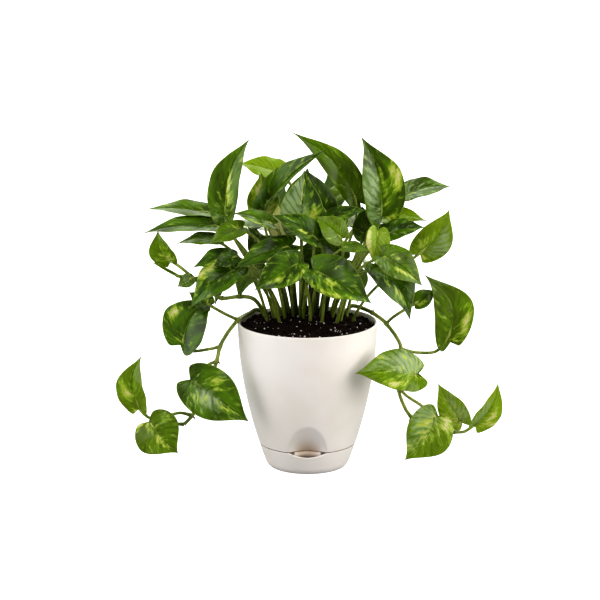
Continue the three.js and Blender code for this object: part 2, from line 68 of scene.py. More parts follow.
def addNode(tree, kind, inputs=None, **settings):
    node = tree.nodes.new(kind)
    for name, value in settings.items():
        setattr(node, name, value)
    return feed(node, inputs or {})


def calc(operation, a, b=0.0, c=0.0):
    tree = next(value for value in (a, b, c) if isSocket(value)).id_data
    return addNode(tree, "ShaderNodeMath", {0: a, 1: b, 2: c}, operation=operation).outputs[0]


def weighed(*pairs):
    # the sum of several values, each times its weight
    total = 0.0
    for value, weight in pairs:
        total = calc("MULTIPLY_ADD", value, weight, total)
    return total


def vectorCalc(operation, a, b=(0, 0, 0)):
    node = addNode(a.id_data, "ShaderNodeVectorMath", {0: a, 1: b}, operation=operation)
    return node.outputs["Value" if operation == "LENGTH" else "Vector"]


def splitVector(vector):
    return addNode(vector.id_data, "ShaderNodeSeparateXYZ", {0: vector}).outputs


def ramp(value, low, high, start=0.0, end=1.0):
    # a soft step from start to end as value goes from low to high
    inputs = {"Value": value, "From Min": low, "From Max": high, "To Min": start, "To Max": end}
    node = addNode(value.id_data, "ShaderNodeMapRange", inputs, interpolation_type="SMOOTHSTEP")
    return node.outputs["Result"]


def mixed(share, first, second):
    # two colours, each a socket or a picked code
    tree = (first if isSocket(first) else share).id_data
    first, second = (srgb(c) if isinstance(c, str) else c for c in (first, second))
    return addNode(tree, "ShaderNodeMix", {0: share, 6: first, 7: second}, data_type="RGBA").outputs[2]


def speckle(vector, scale, detail=2.0, roughness=0.5):
    inputs = {"Vector": vector, "Scale": scale, "Detail": detail, "Roughness": roughness}
    return addNode(vector.id_data, "ShaderNodeTexNoise", inputs).outputs["Fac"]


def startMaterial(name):
    material = bpy.data.materials.new(name)
    material.use_nodes = True
    place = addNode(material.node_tree, "ShaderNodeTexCoord").outputs["Object"]
    return material, material.node_tree.nodes["Principled BSDF"], place


def addBump(surface, height, distance, strength=1.0):
    inputs = {"Height": height, "Distance": distance, "Strength": strength}
    feed(surface, {"Normal": addNode(surface.id_data, "ShaderNodeBump", inputs).outputs["Normal"]})


def newMesh(name, verts, faces):
    mesh = bpy.data.meshes.new(name)
    mesh.from_pydata(verts, [], faces)
    return mesh


def makeObject(name, data, materials=()):
    obj = bpy.data.objects.new(name, data)
    bpy.context.scene.collection.objects.link(obj)
    for material in materials:
        data.materials.append(material)
    return obj


def closeMesh(mesh, merge=2e-6):
    # poles and seams become shared points, and faces look outwards
    work = bmesh.new()
    work.from_mesh(mesh)
    bmesh.ops.remove_doubles(work, verts=work.verts, dist=merge)
    bmesh.ops.dissolve_degenerate(work, edges=work.edges, dist=merge / 2)
    bmesh.ops.recalc_face_normals(work, faces=work.faces)
    work.to_mesh(mesh)
    work.free()
    mesh.shade_smooth()


def joined(name, parts):
    # several loose objects as one, keeping their materials and attributes
    for obj in bpy.context.selected_objects:
        obj.select_set(False)
    for obj in parts:
        obj.select_set(True)
    bpy.context.view_layer.objects.active = parts[0]
    bpy.ops.object.join()
    parts[0].name = parts[0].data.name = name
    return parts[0]


def settle(obj, node):
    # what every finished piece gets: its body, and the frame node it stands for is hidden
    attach(obj, "root")
    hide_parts(node)


eye = {
    "tilt": math.radians(13),
    "distance": 2.6,
    "lookHeight": 0.195,
    "lookUp": 0.19,  # what "up" reads at that height in the leaf and stem tables
    "across": -0.0086,
    "lens": 136.5,
    "sensor": 36.0,
}


def makeCamera():
    camera = makeObject("eye", bpy.data.cameras.new("eye"))
    camera.data.lens = eye["lens"]
    camera.data.sensor_width = eye["sensor"]
    target = Vector((eye["across"], 0, eye["lookHeight"]))
    back = Vector((0, -math.cos(eye["tilt"]), math.sin(eye["tilt"])))
    camera.location = target + back * eye["distance"]
    camera.rotation_euler = (-back).to_track_quat("-Z", "Y").to_euler()
    bpy.context.scene.camera = camera


studio = {
    "backdrop": 1.0,  # how bright the surroundings look behind the plant
    "room": 0.44,  # how bright they are as light
    "gleam": 0.5,  # how bright they are in a reflection
    "floorSide": 60.0,
    "floorHeight": -0.0004,
    "floorAlbedo": 0.32,
    "floorWhite": 0.86,
    "lamps": [  # name, place, aim, side length, watts, colour
        ("frontLight", (0.2, -2.0, 2.2), (0, 0, 0.2), 1.1, 11, "fffcfa"),
        ("leftLight", (-2.3, -0.6, 0.9), (0, 0, 0.1), 2.4, 38, "fafbff"),
        ("rightLight", (2.3, -0.6, 0.9), (0, 0, 0.1), 2.6, 50, "fffdfa"),
        ("backLight", (0.1, 1.9, 1.5), (0, 0, 0.2), 3.0, 55, "fffffc"),
    ],
}


def makeWorld():
    world = bpy.data.worlds.new("studioWorld")
    world.use_nodes = True
    tree = world.node_tree
    path = addNode(tree, "ShaderNodeLightPath").outputs
    shown = calc("MULTIPLY", path["Is Camera Ray"], studio["backdrop"])
    mirrored = calc("MULTIPLY", path["Is Glossy Ray"], studio["gleam"])
    strength = calc("MAXIMUM", calc("MAXIMUM", shown, mirrored), studio["room"])
    feed(tree.nodes["Background"], {"Color": (1, 1, 1, 1), "Strength": strength})
    bpy.context.scene.world = world


def makeFloor():
    # plain white paper that shows only a trace of shadow
    half = studio["floorSide"] / 2
    corners = [(-half, -half, 0), (half, -half, 0), (half, half, 0), (-half, half, 0)]
    mesh = newMesh("studioFloor", corners, [(0, 1, 2, 3)])
    material, surface, _ = startMaterial("paperFloor")
    seen = addNode(material.node_tree, "ShaderNodeLightPath").outputs["Is Camera Ray"]
    feed(surface, {
        "Base Color": (*[studio["floorAlbedo"]] * 3, 1),
        "Roughness": 1.0,
        "Specular IOR Level": 0.0,
        "Emission Color": (1, 1, 1, 1),
        "Emission Strength": calc("MULTIPLY", seen, studio["floorWhite"]),
    })
    floor = makeObject("studioFloor", mesh, [material])
    floor.location.z = studio["floorHeight"]


def makeStudio():
    view = bpy.context.scene.view_settings
    view.view_transform, view.look = "Standard", "High Contrast"
    makeWorld()
    makeFloor()
    for name, place, aim, side, watts, colour in studio["lamps"]:
        lamp = bpy.data.lights.new(name, "AREA")
        lamp.size = side
        lamp.energy = watts
        lamp.color = srgb(colour)[:3]
        obj = makeObject(name, lamp)
        obj.location = place
        obj.rotation_euler = (Vector(aim) - Vector(place)).to_track_quat("-Z", "Y").to_euler()


makeCamera()
makeStudio()
print("camera, floor and lamps ready")

pot = {
    "height": 0.17,
    "rimRadius": 0.08,
    "footRadius": 0.046,
    "wallCurve": 1.9,
    "wall": 0.0024,
    "seamHeight": 0.0283,
    "edgeRounding": 0.0006,
    "floorUnder": 0.034,
    "floorTop": 0.0366,
    "collarRadius": 0.0494,
    "collarBottom": 0.02,
    "wickTop": 0.018,
    "wickFoot": 0.016,
    "wickBottom": 0.006,
    "alcoveHalfWidth": 0.0223,
    "alcoveHeight": 0.035,
    "alcoveDepth": 0.0135,
    "alcoveFoot": 0.028,
    "alcoveEdge": 0.0007,  # how softly its edge runs into the wall
    "alcoveTop": 0.068,  # above this the wall is plain
    "frontTurns": 110,
    "backTurns": 110,
}
tray = {
    "top": 0.028,
    "floor": 0.003,
    "sole": 0.041,
    "corner": [(0.0444, 0.001), (0.0466, 0.0032)],
    "wallBottom": 0.0065,
    "lipDip": 0.005,
    "lipHalfWidth": 0.0223,
    "lipEdge": 0.0002,
}

plasticLook = {
    "body": "f0ebe6",
    "shade": "ebe5dd",
    "inside": "c4a684",  # painted shade for the deepest part of the alcove and what shows behind the mouth
    # painted shade for the thin line in the seam between pot and tray
    "seam": "8c6b45",
    "stain": 0.6,  # how strongly that painted shade shows there, and from where to where it comes in
    "stainInset": (0.002, 0.013),
    "recessShadeTop": (0.056, 0.03),
    "recessShadeFoot": (0.008, 0.014),
    "seamEdge": (0.0007, 0.0003),
    "roughness": (0.41, 0.53),
    "specular": 0.42,
    "grain": 900.0,
    "mottle": 14.0,
}


def makePlastic():
    # matte moulded plastic: faint mottling, a fine even grain
    look = plasticLook
    material, surface, place = startMaterial("matteIvoryPlastic")
    mottle = ramp(speckle(place, look["mottle"], 3.0), 0.35, 0.65)
    grain = speckle(place, look["grain"], 2.0, 0.7)
    colour = mixed(mottle, look["shade"], look["body"])
    # painted shade: darker and browner where the wall is pressed in, deepest in the alcove and behind the
    # mouth
    height = splitVector(place)[2]
    radius = vectorCalc("LENGTH", vectorCalc("MULTIPLY", place, (1, 1, 0)))
    curve = calc("POWER", weighed((height, -1 / pot["height"]), (1.0, 1.0)), pot["wallCurve"])
    wall = weighed((curve, pot["footRadius"] - pot["rimRadius"]), (1.0, pot["rimRadius"]))
    deep = ramp(calc("SUBTRACT", wall, radius), *look["stainInset"], 0.0, look["stain"])
    for low, high in (look["recessShadeTop"], look["recessShadeFoot"]):
        deep = calc("MULTIPLY", deep, ramp(height, low, high))
    colour = mixed(deep, colour, look["inside"])
    # painted shade: a thin dark brown line along the seam between pot and tray
    apart = calc("ABSOLUTE", calc("SUBTRACT", height, pot["seamHeight"]))
    colour = mixed(ramp(apart, *look["seamEdge"], 0.0, 0.9), colour, look["seam"])
    rough = ramp(grain, 0.3, 0.7, *look["roughness"])
    feed(surface, {"Base Color": colour, "Roughness": rough, "Specular IOR Level": look["specular"]})
    addBump(surface, grain, 0.00004, 0.5)
    return material


# Dull finishes: two colours, the noises that part them as (scale, detail, roughness, weight), and where the
# first begins to give way and the second is full.
soilLook = {
    "colours": ("140a06", "352015"),
    "noises": [(260.0, 4.0, 0.65, 0.55), (1400.0, 3.0, 0.7, 0.45)],
    "bounds": (0.42, 0.66),
    "roughness": 0.95,
    "specular": 0.25,
    "relief": 0.0006,
}
perliteLook = {
    "colours": ("c9c4ba", "fbfaf6"),
    "noises": [(1800.0, 3.0, 0.6, 1.0)],
    "bounds": (0.35, 0.6),
    "roughness": 0.9,
    "specular": 0.5,
    "relief": 0.0003,
}
rootLook = {
    **perliteLook,
    "colours": ("1e160a", "43341a"),
    "noises": [(900.0, 3.0, 0.6, 1.0)],
    "bounds": (0.35, 0.65),
    "roughness": 0.8,
}


def makeDull(name, look):
    material, surface, place = startMaterial(name)
    grain = weighed(*[(speckle(place, *wave), weight) for *wave, weight in look["noises"]])
    feed(surface, {
        "Base Color": mixed(ramp(grain, *look["bounds"]), *look["colours"]),
        "Roughness": look["roughness"],
        "Specular IOR Level": look["specular"],
    })
    addBump(surface, grain, look["relief"])
    return material


leafLook = {
    "line": "172c00",
    "deep": "2c4600",
    "green": "618a04",
    "bright": "9ab80e",
    "lime": "a4c636",
    "yellow": "ccd85c",
    "cream": "ebe8a8",
    # pale grey-green silver, partly the leaf's own patches and partly painted sheen
    "silverAndSheen": "adc292",
    "under": "55772a",
    # the thin pale rim is painted light through the thin edge
    "rim": "98a94e",
    "midrib": "7f9c30",
    "lit": "b6bc00",  # of the light that comes through
    "roughness": 0.24,
    "underRoughness": 0.52,
    "specular": 0.45,
    "veins": 14,  # pairs of side veins, the same in the blade's relief
    "glow": 0.34,  # how much light the blade lets through
}


def makeLeafFinish():
    material, surface, place = startMaterial("variegatedLeaf")
    tree = material.node_tree
    along, across, _ = splitVector(addNode(tree, "ShaderNodeUVMap", uv_map="blade").outputs["UV"])
    cream, silverAndSheen, tone, under, draw = (
        addNode(tree, "ShaderNodeAttribute", attribute_name=name).outputs["Fac"]
        for name in ("cream", "silverAndSheen", "tone", "under", "draw"))
    side = calc("MULTIPLY_ADD", across, 2.0, -1.0)
    reach = calc("ABSOLUTE", side)
    shift = calc("MULTIPLY", draw, 37.0)
    wander = speckle(place, 130.0)

    def spread(length, lengthScale, widthScale):
        # where on a noise this leaf lies, stretched along and across the blade
        ends = [calc("MULTIPLY_ADD", value, scale, shift)
                for value, scale in ((length, lengthScale), (side, widthScale))]
        return addNode(tree, "ShaderNodeCombineXYZ", dict(enumerate((*ends, shift)))).outputs[0]

    # streaks run along the side veins in patches, with frayed ends
    streaks = speckle(spread(weighed((along, 1.0), (wander, 0.06)), 21.0, 2.5), 1.0, 3.0, 0.68)
    patches = speckle(spread(along, 6.0, 1.6), 1.3)
    flow = speckle(spread(along, 6.0, 2.5), 0.7)
    creamLevel = weighed((streaks, 0.9), (patches, 0.3), (cream, 0.28))
    silverAndSheenLevel = weighed((streaks, 0.6), (patches, 0.4), (silverAndSheen, 0.18))

    # quilted between the side veins
    turn = calc("MULTIPLY", weighed((along, 1.0), (wander, 0.05)), 2 * math.pi * leafLook["veins"])
    quilt = ramp(calc("COSINE", turn), 0.95, 0.1)
    # painted shade: dark lines in the grooves of the side veins, in patches
    lines = ramp(quilt, 1.0, 0.0, 0.0, 0.36)
    lines = calc("MULTIPLY", lines, ramp(patches, 0.35, 0.65, 0.1, 1.0))
    # painted sheen: pale grey-green highlights between the side veins where the silver marks lie
    sheen = ramp(silverAndSheenLevel, 0.56, 0.8, 0.0, 0.85)
    sheen = calc("MULTIPLY", sheen, ramp(quilt, 0.0, 1.0, 0.4))

    # one colour laid over the other, from the greens through the painted sheen to the midrib, the thin pale
    # rim of painted light through the edge, and the underside
    colour = mixed(ramp(flow, 0.3, 0.7), leafLook["deep"], leafLook["green"])
    layers = (
        (ramp(tone, 0.0, 1.0), "bright"),
        (ramp(tone, 0.0, -1.0, 0.0, 0.6), "line"),
        (lines, "line"),
        (ramp(creamLevel, 0.65, 0.78, 0.0, 0.75), "lime"),
        (sheen, "silverAndSheen"),
        (ramp(creamLevel, 0.76, 0.86), "yellow"),
        (ramp(creamLevel, 0.86, 0.96), "cream"),
        (ramp(reach, 0.034, 0.012, 0.0, 0.7), "midrib"),
        # painted light: a pale rim along the margin
        (ramp(reach, 0.965, 0.99, 0.0, 0.75), "rim"),
        (calc("MULTIPLY", under, 0.72), "under"),
    )
    for share, name in layers:
        colour = mixed(share, colour, leafLook[name])

    rough = leafLook["roughness"]
    cells = speckle(place, 2600.0, 2.0, 0.6)
    gloss = ramp(cells, 0.25, 0.75, rough - 0.04, rough + 0.08)
    gloss = calc("MULTIPLY_ADD", under, leafLook["underRoughness"] - rough, gloss)
    feed(surface, {"Base Color": colour, "Roughness": gloss, "Specular IOR Level": leafLook["specular"]})
    addBump(surface, weighed((streaks, 0.5), (quilt, 0.3), (cells, 0.06)), 0.0003, 0.5)

    glow = addNode(tree, "ShaderNodeBsdfTranslucent", {"Color": mixed(0.6, colour, leafLook["lit"])})
    both = addNode(tree, "ShaderNodeMixShader", {0: leafLook["glow"], 1: surface, 2: glow})
    feed(tree.nodes["Material Output"], {"Surface": both})
    return material


# the inner colour is painted shade in the middle of the clump
stemLook = {"pale": "aab85a", "olive": "6f8428", "shade": "4a5a16", "innerShade": "28320a", "roughness": 0.4}
crownMiddle = 0.014  # the clump of petioles stands a little behind the pot's middle


def makeStemFinish():
    # smooth green stalks, streaked lengthwise and darker at the root
    material, surface, place = startMaterial("greenStalk")
    rise = addNode(material.node_tree, "ShaderNodeAttribute", attribute_name="rise").outputs["Fac"]
    streaks = speckle(vectorCalc("MULTIPLY", place, (1, 1, 0.16)), 620.0, 3.0, 0.6)
    patches = speckle(vectorCalc("MULTIPLY", place, (1, 1, 0.06)), 75.0)
    # painted shade: those in the middle of the clump, low down and toward the back, are darker
    spot = vectorCalc("ADD", place, (0, -crownMiddle, 0))
    out = vectorCalc("LENGTH", vectorCalc("MULTIPLY", spot, (1, 1, 0)))
    _, depth, height = splitVector(place)
    innerShade = calc("MULTIPLY", ramp(out, 0.038, 0.014, 0.0, 0.9), ramp(height, 0.29, 0.21))
    innerShade = calc("MULTIPLY", innerShade, ramp(depth, -0.02, 0.006, 0.3, 1.0))
    colour = mixed(ramp(patches, 0.35, 0.62), stemLook["olive"], stemLook["pale"])
    colour = mixed(ramp(rise, 0.05, 0.3, 0.35, 0.0), colour, stemLook["shade"])
    colour = mixed(innerShade, colour, stemLook["innerShade"])
    colour = mixed(ramp(streaks, 0.4, 0.7, 0.0, 0.5), colour, stemLook["shade"])
    feed(surface, {"Base Color": colour, "Roughness": stemLook["roughness"]})
    addBump(surface, streaks, 0.00015)
    return material


plastic = makePlastic()
peat = makeDull("dampPeat", soilLook)
perlite = makeDull("perlite", perliteLook)
leafSkin = makeLeafFinish()
stalkSkin = makeStemFinish()
rootSkin = makeDull("driedRoot", rootLook)
print("finishes ready")


def wallRadius(z):
    taper = (1 - z / pot["height"]) ** pot["wallCurve"]
    return pot["rimRadius"] - (pot["rimRadius"] - pot["footRadius"]) * taper


def softPositive(value, softness):
    # the value where it is above zero, easing to nothing below
    return (value + math.sqrt(value * value + softness * softness)) / 2


def alcoveDepth(angle, z):
    # how far the wall is pressed in at this place: an arch, deepest at its foot
    if math.sin(angle) > -0.5:
        return 0.0
    x = wallRadius(z) * math.cos(angle) / pot["alcoveHalfWidth"]
    t = max((z - pot["alcoveFoot"]) / pot["alcoveHeight"], 0.0)
    pressed = pot["alcoveDepth"] * ((1 - t) - x * x / (1 + t))
    return softPositive(pressed, pot["alcoveEdge"])


def potRadius(angle, z):
    return wallRadius(z) - alcoveDepth(angle, z)


def frontAngles(fine, coarse, reach=0.56):
    # angles once round, closer together about the front
    front = -math.pi / 2
    near = [front + reach * (2 * i / fine - 1) for i in range(fine)]
    far = [front + reach + (2 * math.pi - 2 * reach) * i / coarse for i in range(coarse)]
    return near + far


def roundShell(name, angles, profileAt, materials):
    # a turned shape whose profile [(radius, height), ...] may change as it goes round
    verts = []
    for angle in angles:
        verts += [(r * math.cos(angle), r * math.sin(angle), z) for r, z in profileAt(angle)]
    rows, turns = len(verts) // len(angles), len(angles)
    faces = []
    for i in range(turns):
        a, b = i * rows, (i + 1) % turns * rows
        faces += [(a + j, b + j, b + j + 1, a + j + 1) for j in range(rows - 1)]
    mesh = newMesh(name, verts, faces)
    closeMesh(mesh)
    return makeObject(name, mesh, materials)


def stepsBetween(low, high, count):
    return [low + (high - low) * i / count for i in range(count + 1)]


def rising(radiusAt, low, high, count):
    return [(radiusAt(z), z) for z in stepsBetween(low, high, count)]


def potProfile(angle):
    wall, edge, bead = pot["wall"], pot["edgeRounding"], pot["wall"] / 2
    seam, top, under = pot["seamHeight"], pot["height"], pot["floorUnder"]
    plain, rim = (pot["alcoveTop"] + 0.002, top - bead), wallRadius(top) - bead
    foot = potRadius(angle, seam)
    collarOut, collarEnd = min(pot["collarRadius"], foot - 0.0004), pot["collarBottom"]
    collarIn = collarOut - wall
    corner = min(pot["collarRadius"], potRadius(angle, under)) - wall
    wick, low = pot["wickFoot"], pot["wickBottom"]
    rows = [(0, low), (wick - 0.001, low), (wick, low + 0.001), (pot["wickTop"], under), (corner, under)]
    rows += [(collarIn, seam), (collarIn, collarEnd), (collarOut, collarEnd), (collarOut, seam)]
    rows += [(foot - edge, seam), (foot - 0.3 * edge, seam + 0.3 * edge)]
    rows += rising(lambda z: potRadius(angle, z), seam + edge, pot["alcoveTop"], 56)
    rows += rising(wallRadius, *plain, 24)
    bend = [math.pi * i / 8 for i in range(1, 8)]
    rows += [(rim + bead * math.cos(a), top - bead + bead * math.sin(a)) for a in bend]
    rows += reversed(rising(lambda z: wallRadius(z) - wall, *plain, 16))
    rows += reversed(rising(lambda z: potRadius(angle, z) - wall, pot["floorTop"], pot["alcoveTop"], 24))
    rows += [(wick + 0.0004, pot["floorTop"]), (wick - wall, low + wall), (0, low + wall)]
    return rows


def trayProfile(angle):
    wall, edge, sole = pot["wall"], pot["edgeRounding"], tray["sole"]
    x = wallRadius(tray["top"]) * math.cos(angle) / tray["lipHalfWidth"]
    dip = softPositive(tray["lipDip"] * (1 - x * x), tray["lipEdge"]) if math.sin(angle) < 0 else 0.0
    top = tray["top"] - dip
    out, near = wallRadius(top), 0.3 * edge
    rows = [(0, 0), (sole - 0.001, 0), (sole, 0.00005), *tray["corner"]]
    rows += rising(wallRadius, tray["wallBottom"], top - edge, 10)
    rows += [(out - near, top - near), (out - edge, top)]
    rows += [(out - wall + edge, top), (out - wall + near, top - near)]
    rows += reversed(rising(lambda z: wallRadius(z) - wall, tray["wallBottom"] + 0.001, top - edge, 8))
    rows += [(sole + 0.0035, tray["floor"] + 0.001), (sole, tray["floor"]), (0, tray["floor"])]
    return rows


def makePotAndTray():
    angles = frontAngles(pot["frontTurns"], pot["backTurns"])
    kinds = (("potShell", potProfile, "planter_pot"), ("waterTray", trayProfile, "water_tray"))
    for name, profile, node in kinds:
        settle(roundShell(name, angles, profile, [plastic]), node)
    print("pot and tray made")


makePotAndTray()


soil = {
    "edgeHeight": 0.164,
    "heap": 0.018,  # the root ball stands up round the stems, a little behind the middle
    "heapBehind": 0.018,
    "heapAcross": 0.05,
    "heapDeep": 0.038,
    "clearance": 0.00035,
    "clod": 0.0011,
    "clodWaves": (310.0, 270.0, 130.0, 190.0),  # radians per metre
    "roughness": 0.0011,
    "rings": 46,
    "turns": 150,
    "crumbsAbove": 0.1605,
    "wallTop": 0.158,
    "crumbDensity": 62000.0,
    "crumbSize": (0.0005, 0.0017),
    "perliteDensity": 8000.0,
    "perliteSize": (0.0005, 0.0013),
    "seed": 5,
}


def soilHeight(x, y):
    reach = math.hypot(x, y) / pot["rimRadius"]
    spread = (x / soil["heapAcross"]) ** 2 + ((y - soil["heapBehind"]) / soil["heapDeep"]) ** 2
    heap = soil["heap"] * (1 - reach * reach) * math.exp(-spread)
    a, b, c, d = soil["clodWaves"]
    clods = math.sin(x * a + 1) * math.sin(y * b + 2) + math.sin(x * c - y * d)
    return soil["edgeHeight"] + heap + soil["clod"] * clods


def soilProfile(angle):
    gap = soil["clearance"]
    inset = pot["wall"] + gap
    edge = wallRadius(soil["edgeHeight"]) - inset
    low = pot["wickBottom"] + inset
    rows = [(0, low), (pot["wickFoot"] - inset, low), (pot["wickFoot"] - gap, pot["floorTop"] + gap)]
    rows += rising(lambda z: potRadius(angle, z) - inset, pot["floorTop"] + gap, soil["wallTop"], 20)
    for i in range(soil["rings"] + 1):
        radius = edge * (1 - i / soil["rings"])
        x, y = radius * math.cos(angle), radius * math.sin(angle)
        spot = Vector((x, y, 0.0))
        rough = noise.fractal(spot * 260, 0.9, 2.2, 4) + 0.6 * noise.noise(spot * 900)
        shy = min(1.0, 8 * (1 - radius / edge) + 0.25)
        rows.append((radius, soilHeight(x, y) + soil["roughness"] * rough * shy))
    return rows


def startTree(name, inputs):
    tree = bpy.data.node_groups.new(name, "GeometryNodeTree")
    for label, kind in {"Geometry": "Geometry", **inputs}.items():
        tree.interface.new_socket(label, in_out="INPUT", socket_type="NodeSocket" + kind)
    tree.interface.new_socket("Geometry", in_out="OUTPUT", socket_type="NodeSocketGeometry")
    return tree, addNode(tree, "NodeGroupInput").outputs


def endTree(tree, geometry, skin):
    real = addNode(tree, "GeometryNodeRealizeInstances", {0: geometry})
    dressed = addNode(tree, "GeometryNodeSetMaterial", {0: real, "Material": skin})
    addNode(tree, "NodeGroupOutput", {0: dressed})
    return tree


def scatterTree():
    # lumps strewn over the faces of a surface that lie above the floor
    inputs = dict.fromkeys(("Density", "Smallest", "Largest", "Floor"), "Float")
    tree, given = startTree("scatteredGrains", {**inputs, "Seed": "Int", "Skin": "Material"})
    height = splitVector(addNode(tree, "GeometryNodeInputPosition").outputs[0])[2]
    heights = {"A": height, "B": given["Floor"]}
    level = addNode(tree, "FunctionNodeCompare", heights, operation="GREATER_THAN")
    points = addNode(tree, "GeometryNodeDistributePointsOnFaces", {
        "Mesh": given["Geometry"], "Selection": level, "Density": given["Density"],
        "Seed": given["Seed"]})
    ball = addNode(tree, "GeometryNodeMeshIcoSphere", {"Radius": 1.1, "Subdivisions": 1})
    lump = addNode(tree, "ShaderNodeTexNoise", {"Scale": 1.1, "Detail": 1.0})
    pull = vectorCalc("ADD", lump.outputs["Color"], (-0.5, -0.5, -0.5))
    grown = vectorCalc("MULTIPLY", pull, (1.5, 1.5, 1.5))
    stone = addNode(tree, "GeometryNodeSetPosition", {"Geometry": ball, "Offset": grown})
    size = addNode(tree, "FunctionNodeRandomValue", {
        2: given["Smallest"], 3: given["Largest"], "Seed": given["Seed"]}, data_type="FLOAT")
    turn = addNode(tree, "FunctionNodeRandomValue", {
        0: (0, 0, 0), 1: (6.28, 6.28, 6.28), "Seed": given["Seed"]}, data_type="FLOAT_VECTOR")
    placed = addNode(tree, "GeometryNodeInstanceOnPoints", {
        "Points": points, "Instance": stone, "Rotation": turn,
        "Scale": size.outputs[1]})
    return endTree(tree, placed, given["Skin"])


def runTree(obj, tree, values):
    # the tree's result on this object, as a plain mesh
    modifier = obj.modifiers.new("build", "NODES")
    modifier.node_group = tree
    sockets = {s.name: s.identifier for s in tree.interface.items_tree if s.in_out == "INPUT"}
    for name, value in values.items():
        modifier[sockets[name]] = value
    bpy.context.view_layer.update()
    graph = bpy.context.evaluated_depsgraph_get()
    mesh = bpy.data.meshes.new_from_object(obj.evaluated_get(graph))
    obj.modifiers.remove(modifier)
    return mesh


def makeSoil():
    angles = [2 * math.pi * i / soil["turns"] for i in range(soil["turns"])]
    bed = roundShell("soilBed", angles, soilProfile, [peat])
    tree = scatterTree()
    kinds = (("soilCrumbs", "crumb", peat, "soil", 0), ("perliteGrains", "perlite", perlite, None, 3))
    for name, key, skin, slot, shift in kinds:
        small, large = soil[key + "Size"]
        mesh = runTree(bed, tree, {
            "Density": soil[key + "Density"], "Smallest": small, "Largest": large,
            "Floor": soil["crumbsAbove"], "Seed": soil["seed"] + shift, "Skin": skin})
        mesh.name = name
        mesh.shade_smooth()
        settle(makeObject(name, mesh), "potting_soil")
    settle(bed, "potting_soil")
    print("soil, crumbs and perlite made")


makeSoil()


# One row for each crown leaf, in millimetres as the eye sees them: base and tip as (across,
# up, depth), the width, the way its upper face looks, the fold of each half in degrees, its arch and, if any,
# its sweep, both as shares of its length.
crownLeaves = [
    ((-93, 285, -14), (-66, 375, -8), 44, (-0.4, -0.85, 0.2), 26, 0.06, -0.1),
    ((-26, 334, 38), (-80, 346, 42), 40, (0, -0.5, 0.85), 15, 0.05),
    ((-50, 294, 4), (21, 362, -27), 42, (-0.6, -0.6, 0.6), 34, 0.08),
    ((-50, 288, 22), (-53, 336, 14), 38, (0, -0.9, 0.4), 15, 0.04),
    ((-8, 268, -42), (-4, 339, -30), 54, (0, -0.95, 0.3), 28, 0.05),
    ((23, 286, -14), (-2, 340, -6), 36, (0.3, -0.8, 0.5), 20, 0.08, -0.05),
    ((56, 302, 10), (-18, 382, -2), 37, (-0.4, -0.65, 0.6), 26, 0.12, 0.1),
    ((46, 318, 22), (25, 298, 0), 28, (-0.1, -0.5, 0.85), 18, 0.08),
    ((84, 286, -8), (61, 377, -6), 59, (0.3, -0.9, 0.2), 28, 0.05, 0.08),
    ((108, 309, 32), (165, 319, 42), 38, (0.1, -0.45, 0.9), 18, 0.1),
    ((84, 283, 16), (137, 280, 18), 30, (0.1, -0.5, 0.85), 16, 0.12),
    ((89, 264, -22), (134, 273, -32), 32, (0.2, -0.6, 0.75), 16, 0.12),
    ((80, 266, 10), (115, 273, 14), 20, (0.1, -0.6, 0.75), 14, 0.12),
    ((128, 244, -10), (162, 294, -4), 42, (0.2, -0.9, 0.35), 18, 0.06, 0.1),
    ((-109, 289, 16), (-183, 294, 26), 34, (-0.1, -0.35, 0.93), 18, 0.05),
    ((-98, 274, 0), (-189, 266, -8), 36, (-0.1, -0.4, 0.9), 18, 0.07),
    ((-74, 272, -42), (-113, 254, -48), 28, (-0.2, -0.7, 0.7), 18, 0.1),
    ((-100, 257, -14), (-150, 254, -6), 26, (0, -0.4, 0.9), 16, 0.1),
    ((-84, 237, -26), (-131, 227, -28), 31, (-0.2, -0.6, 0.75), 16, 0.14),
    ((-79, 226, -44), (-134, 181, -62), 44, (-0.3, -0.8, 0.5), 22, 0.12, 0.04),
    ((-18, 252, -54), (-84, 226, -70), 33, (-0.1, -0.75, 0.65), 20, 0.1),
    ((-40, 276, -48), (-86, 289, -50), 28, (0, -0.45, 0.9), 16, 0.08),
    ((-9, 233, -82), (-61, 201, -91), 42, (-0.1, -0.85, 0.45), 20, 0.1),
    ((12, 258, -66), (-41, 287, -62), 34, (0.1, -0.7, 0.75), 20, 0.12),
    ((38, 260, -62), (9, 286, -60), 34, (0.1, -0.75, 0.6), 18, 0.1),
    ((41, 250, -80), (70, 246, -88), 18, (0, -0.6, 0.8), 14, 0.1),
    ((20, 279, -34), (67, 293, -30), 24, (0.1, -0.6, 0.75), 16, 0.12),
    ((80, 270, -52), (74, 232, -63), 32, (0.3, -0.85, 0.4), 26, 0.08),
    ((6, 224, -86), (73, 186, -98), 56, (0.1, -0.72, 0.65), 22, 0.08),
    ((75, 229, -44), (117, 167, -62), 52, (0.4, -0.75, 0.45), 24, 0.1, -0.1),
    ((84, 241, -80), (131, 206, -86), 42, (0.3, -0.75, 0.55), 18, 0.12),
    ((-36, 254, -6), (-70, 240, -12), 28, (-0.2, -0.7, 0.7), 18, 0.12),
    ((8, 250, 14), (-10, 214, 6), 28, (0.1, -0.85, 0.5), 18, 0.1),
    ((68, 262, 4), (62, 298, 0), 34, (0, -0.8, 0.6), 18, 0.1),
    ((-82, 240, -54), (-108, 229, -62), 21, (-0.1, -0.85, 0.5), 16, 0.06),
    ((-51, 240, 16), (-68, 274, 17), 28, (0, -0.8, 0.6), 18, 0.1),
    ((40, 236, -10), (6, 262, -14), 34, (0, -0.85, 0.5), 18, 0.1),
    ((-32, 264, -20), (-34, 300, -18), 22, (0, -0.95, 0.3), 12, 0.04),
]
